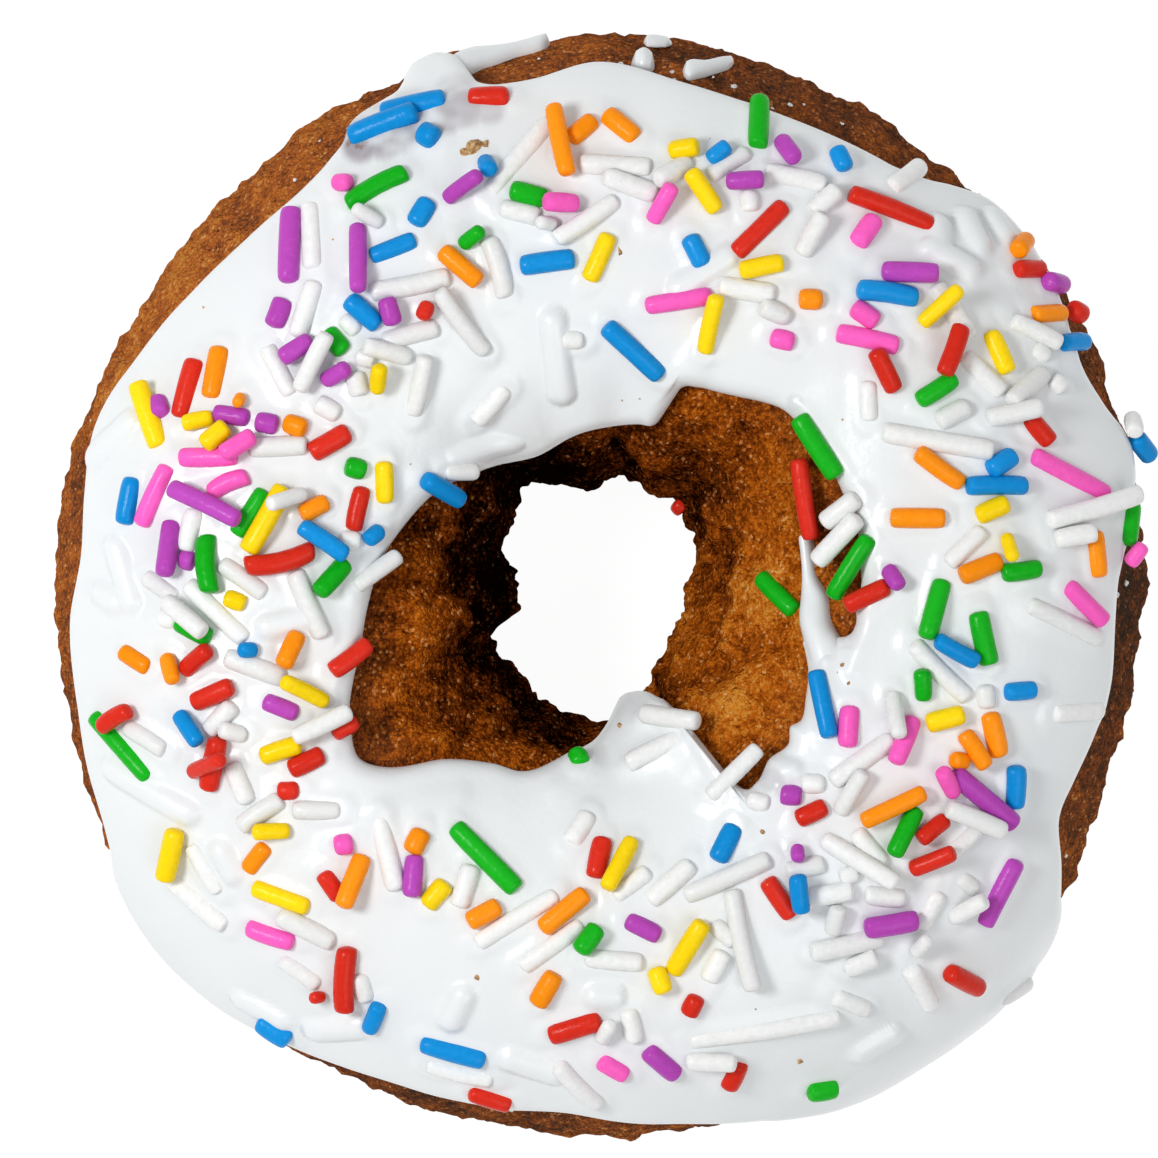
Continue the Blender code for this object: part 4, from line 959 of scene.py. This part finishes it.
for index, (colour, base) in enumerate(SPRINKLE_COLOURS.items()):
    these = (colour_of == colour) & ~is_coated
    rng = np.random.default_rng(100 + index)
    points, faces = sprinkle_rods(
        sprinkle_centre[these], axis[these], up[these], half_length[these], bend[these], thicker[these], rng
    )
    piece = mesh_object(f"sprinkles_{colour}", points, faces)
    write_on(piece, "tint", np.repeat(rng.uniform(0, 1, these.sum()), len(points) // these.sum()))
    smoother = piece.modifiers.new("smoother", "SUBSURF")
    smoother.levels = smoother.render_levels = 1
    place, feed = finish_of(piece, roughness=0.3, specular=0.14)
    mottle = place.noise(MOTTLE_SIZE, detail=3, roughness=0.6)
    paler = tuple((1 - PALER_BY) * part + PALER_BY for part in base[:3]) + (1,)
    deeper = tuple(DEEPER_TO * part for part in base[:3]) + (1,)
    shade = TINT_SHARE * written(place, "tint") + (1 - TINT_SHARE) * mottle
    feed("Base Color", shade.between(*SHADE_RANGE).mix(deeper, paler))
    feed("Roughness", SMOOTHEST + ROUGHER_IN_MOTTLE * mottle)
    feed("Normal", mottle.bump(MOTTLE_DEPTH))
    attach(piece, "root")


# The crumbs
# Specks of fried crust that came off in the dipping and stuck to the icing. The largest lie at the top
# left, and the smallest are strewn all over.

# Crumbs that stand out are (right, down, size) in the steps in which the sprinkles' places are given.
CRUMBS_SEEN = [
    (473, 145, 22), (464, 149, 12), (484, 141, 10), (617, 250, 11), (612, 246, 6), (821, 197, 10),
    (826, 203, 6), (621, 732, 7), (762, 831, 5), (428, 392, 5), (168, 605, 6), (832, 775, 8),
    (838, 768, 6), (885, 863, 6), (845, 925, 5), (985, 888, 6), (980, 905, 6), (477, 978, 7),
    (800, 1062, 7), (330, 337, 5), (283, 388, 5), (266, 440, 6), (1019, 397, 5), (857, 516, 7),
    (842, 665, 5), (848, 683, 4), (364, 206, 7), (372, 209, 5),
]
SMALL_CRUMBS = 30
SMALL_CRUMB_SIZES_MM = (0.10, 0.28)
CRUMB_FLATNESS = 0.45
CRUMB_COLOURS = ((0.30, 0.15, 0.05, 1), (0.62, 0.40, 0.19, 1))
CRUMB_PATCH_SIZE, CRUMB_RANGE = 0.0003, (0.35, 0.65)
GRAIN_RINGS = 4
GRAIN_SIDES = 7
GRAIN_UNEVEN = (0.6, 1.25)


def grains_of(clock, section, lift, size, flatness, rng):
    """Points and faces of a set of grains: small uneven balls, flattened along the surface's own up."""
    turn = np.linspace(0, 2 * np.pi, GRAIN_SIDES, endpoint=False)
    tilt = np.linspace(-1, 1, GRAIN_RINGS + 2)[1:-1, None] * np.pi / 2
    ball = np.stack([np.cos(tilt) * np.cos(turn), np.cos(tilt) * np.sin(turn), np.sin(tilt) + 0 * turn], -1)
    ball = np.concatenate([ball.reshape(-1, 3), [[0, 0, -1], [0, 0, 1]]])
    count = len(clock)
    uneven = rng.uniform(*GRAIN_UNEVEN, (count, len(ball), 1))
    shape = ball * uneven * size[:, None, None] / 2 * [1, 1, flatness]
    up = outward(clock, section)
    side = np.cross(up, rng.normal(size=(count, 3)))
    side /= np.linalg.norm(side, axis=-1, keepdims=True)
    third = np.cross(up, side)
    frames = np.stack([side, third, up], axis=1)
    points = cake_point(clock, section, lift)[:, None] + shape @ frames
    return points.reshape(-1, 3), closed_at_poles(GRAIN_RINGS, GRAIN_SIDES, count)


rng = np.random.default_rng(51)
small_clock = rng.uniform(0, 360, SMALL_CRUMBS)
small_reach = rng.uniform(inner_edge_mm(small_clock) + 1, outer_edge_mm(small_clock) - 1)
seen = np.array(CRUMBS_SEEN, float)
large_clock, large_reach = clock_and_reach(plan_seen(seen[:, :2]))
crumb_clock = np.concatenate([large_clock, small_clock])
crumb_reach = np.concatenate([large_reach, small_reach])
small_size = rng.uniform(*SMALL_CRUMB_SIZES_MM, SMALL_CRUMBS)
crumb_size = np.concatenate([seen[:, 2] * SEEN_STEP_MM, small_size]) * MM
crumb_section = section_at(crumb_clock, crumb_reach, GAP + ICING_THICKNESS)
crumb_lift = icing_lift(crumb_clock, crumb_section)
crumb_grains = grains_of(crumb_clock, crumb_section, crumb_lift, crumb_size, CRUMB_FLATNESS, rng)
crumbs = mesh_object("crumbs", *crumb_grains)
place, feed = finish_of(crumbs, roughness=0.7, specular=0.3)
feed("Base Color", place.noise(CRUMB_PATCH_SIZE).between(*CRUMB_RANGE).mix(*CRUMB_COLOURS))
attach(crumbs, "root")


# The flecks of icing
# Dried specks of icing on the bare crust of the rim, most of them along the top, where the icing stops
# short of it.

FLECKS_AT_TOP = 22
FLECKS_ELSEWHERE = 11
TOP_CLOCKS = (62, 128)
FLECKS_FROM_EDGE_DEGREES = (2, 16)
FLECK_SIZES_MM = (0.25, 0.6)
FLECK_LIFT = 0.0001
FLECK_FLATNESS = 0.5
FLECK_COLOURS = ((0.62, 0.60, 0.57, 1), (0.80, 0.80, 0.79, 1))
FLECK_PATCH_SIZE, FLECK_RANGE = 0.0004, (0.3, 0.7)

top_clock = rng.uniform(*TOP_CLOCKS, FLECKS_AT_TOP)
fleck_clock = np.concatenate([top_clock, rng.uniform(0, 360, FLECKS_ELSEWHERE)])
fleck_section = icing_edges(fleck_clock)[0] - rng.uniform(*FLECKS_FROM_EDGE_DEGREES, len(fleck_clock))
fleck_size = rng.uniform(*FLECK_SIZES_MM, len(fleck_clock)) * MM
fleck_lift = np.full(len(fleck_clock), FLECK_LIFT)
fleck_grains = grains_of(fleck_clock, fleck_section, fleck_lift, fleck_size, FLECK_FLATNESS, rng)
flecks = mesh_object("icing_flecks", *fleck_grains)
place, feed = finish_of(flecks, roughness=0.5, specular=0.4)
feed("Base Color", place.noise(FLECK_PATCH_SIZE).between(*FLECK_RANGE).mix(*FLECK_COLOURS))
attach(flecks, "root")


# The table, the light and the camera
# A white table that glows a little, so that it stays white under the ring. A small key light stands
# near it on the left, a wide one fills in from the right, and the camera looks straight down.

TABLE_SIZE = 6.0
TABLE_COLOUR = (0.12, 0.12, 0.12, 1)
TABLE_GLOW = 0.95
TABLE_BELOW = 0.00002
WORLD_STRENGTH = 0.47
# Lights are (place, size, power in watts).
LIGHTS = {
    "key_light": ((-0.20, 0.03, 0.34), 0.11, 0.86),
    "fill_light": ((0.25, -0.22, 0.55), 0.40, 0.85),
}

bpy.ops.mesh.primitive_plane_add(size=TABLE_SIZE, location=(0, 0, -TABLE_BELOW))
table = bpy.context.object
table.name = "table"
place, feed = finish_of(table, roughness=0.6, specular=0.2)
shader = table.data.materials[0].node_tree.nodes["Principled BSDF"]
shader.inputs["Base Color"].default_value = TABLE_COLOUR
shader.inputs["Emission Color"].default_value = (1, 1, 1, 1)
shader.inputs["Emission Strength"].default_value = TABLE_GLOW

world = bpy.data.worlds.new("studio")
world.use_nodes = True
world.node_tree.nodes["Background"].inputs["Color"].default_value = (1, 1, 1, 1)
world.node_tree.nodes["Background"].inputs["Strength"].default_value = WORLD_STRENGTH
bpy.context.scene.world = world
for name, (position, size, power) in LIGHTS.items():
    lamp = bpy.data.lights.new(name, "AREA")
    lamp.shape = "DISK"
    lamp.size = size
    lamp.energy = power
    light = bpy.data.objects.new(name, lamp)
    light.location = position
    light.rotation_mode = "QUATERNION"
    light.rotation_quaternion = (-light.location).to_track_quat("-Z", "Y")
    bpy.context.scene.collection.objects.link(light)

bpy.context.scene.view_settings.view_transform = "Standard"
camera = bpy.data.objects.new("camera", bpy.data.cameras.new("camera"))
right, down = np.subtract(VIEW_MIDDLE_SEEN, RING_MIDDLE_SEEN) * SEEN_STEP_MM * MM
camera.location = (right, -down, EYE_HEIGHT)
width_seen = 2 * VIEW_MIDDLE_SEEN[0] * SEEN_STEP_MM * MM
camera.data.lens = camera.data.sensor_width * (EYE_HEIGHT - STEP_HEIGHT) / width_seen
camera.data.clip_start = 0.01
bpy.context.scene.collection.objects.link(camera)
bpy.context.scene.camera = camera
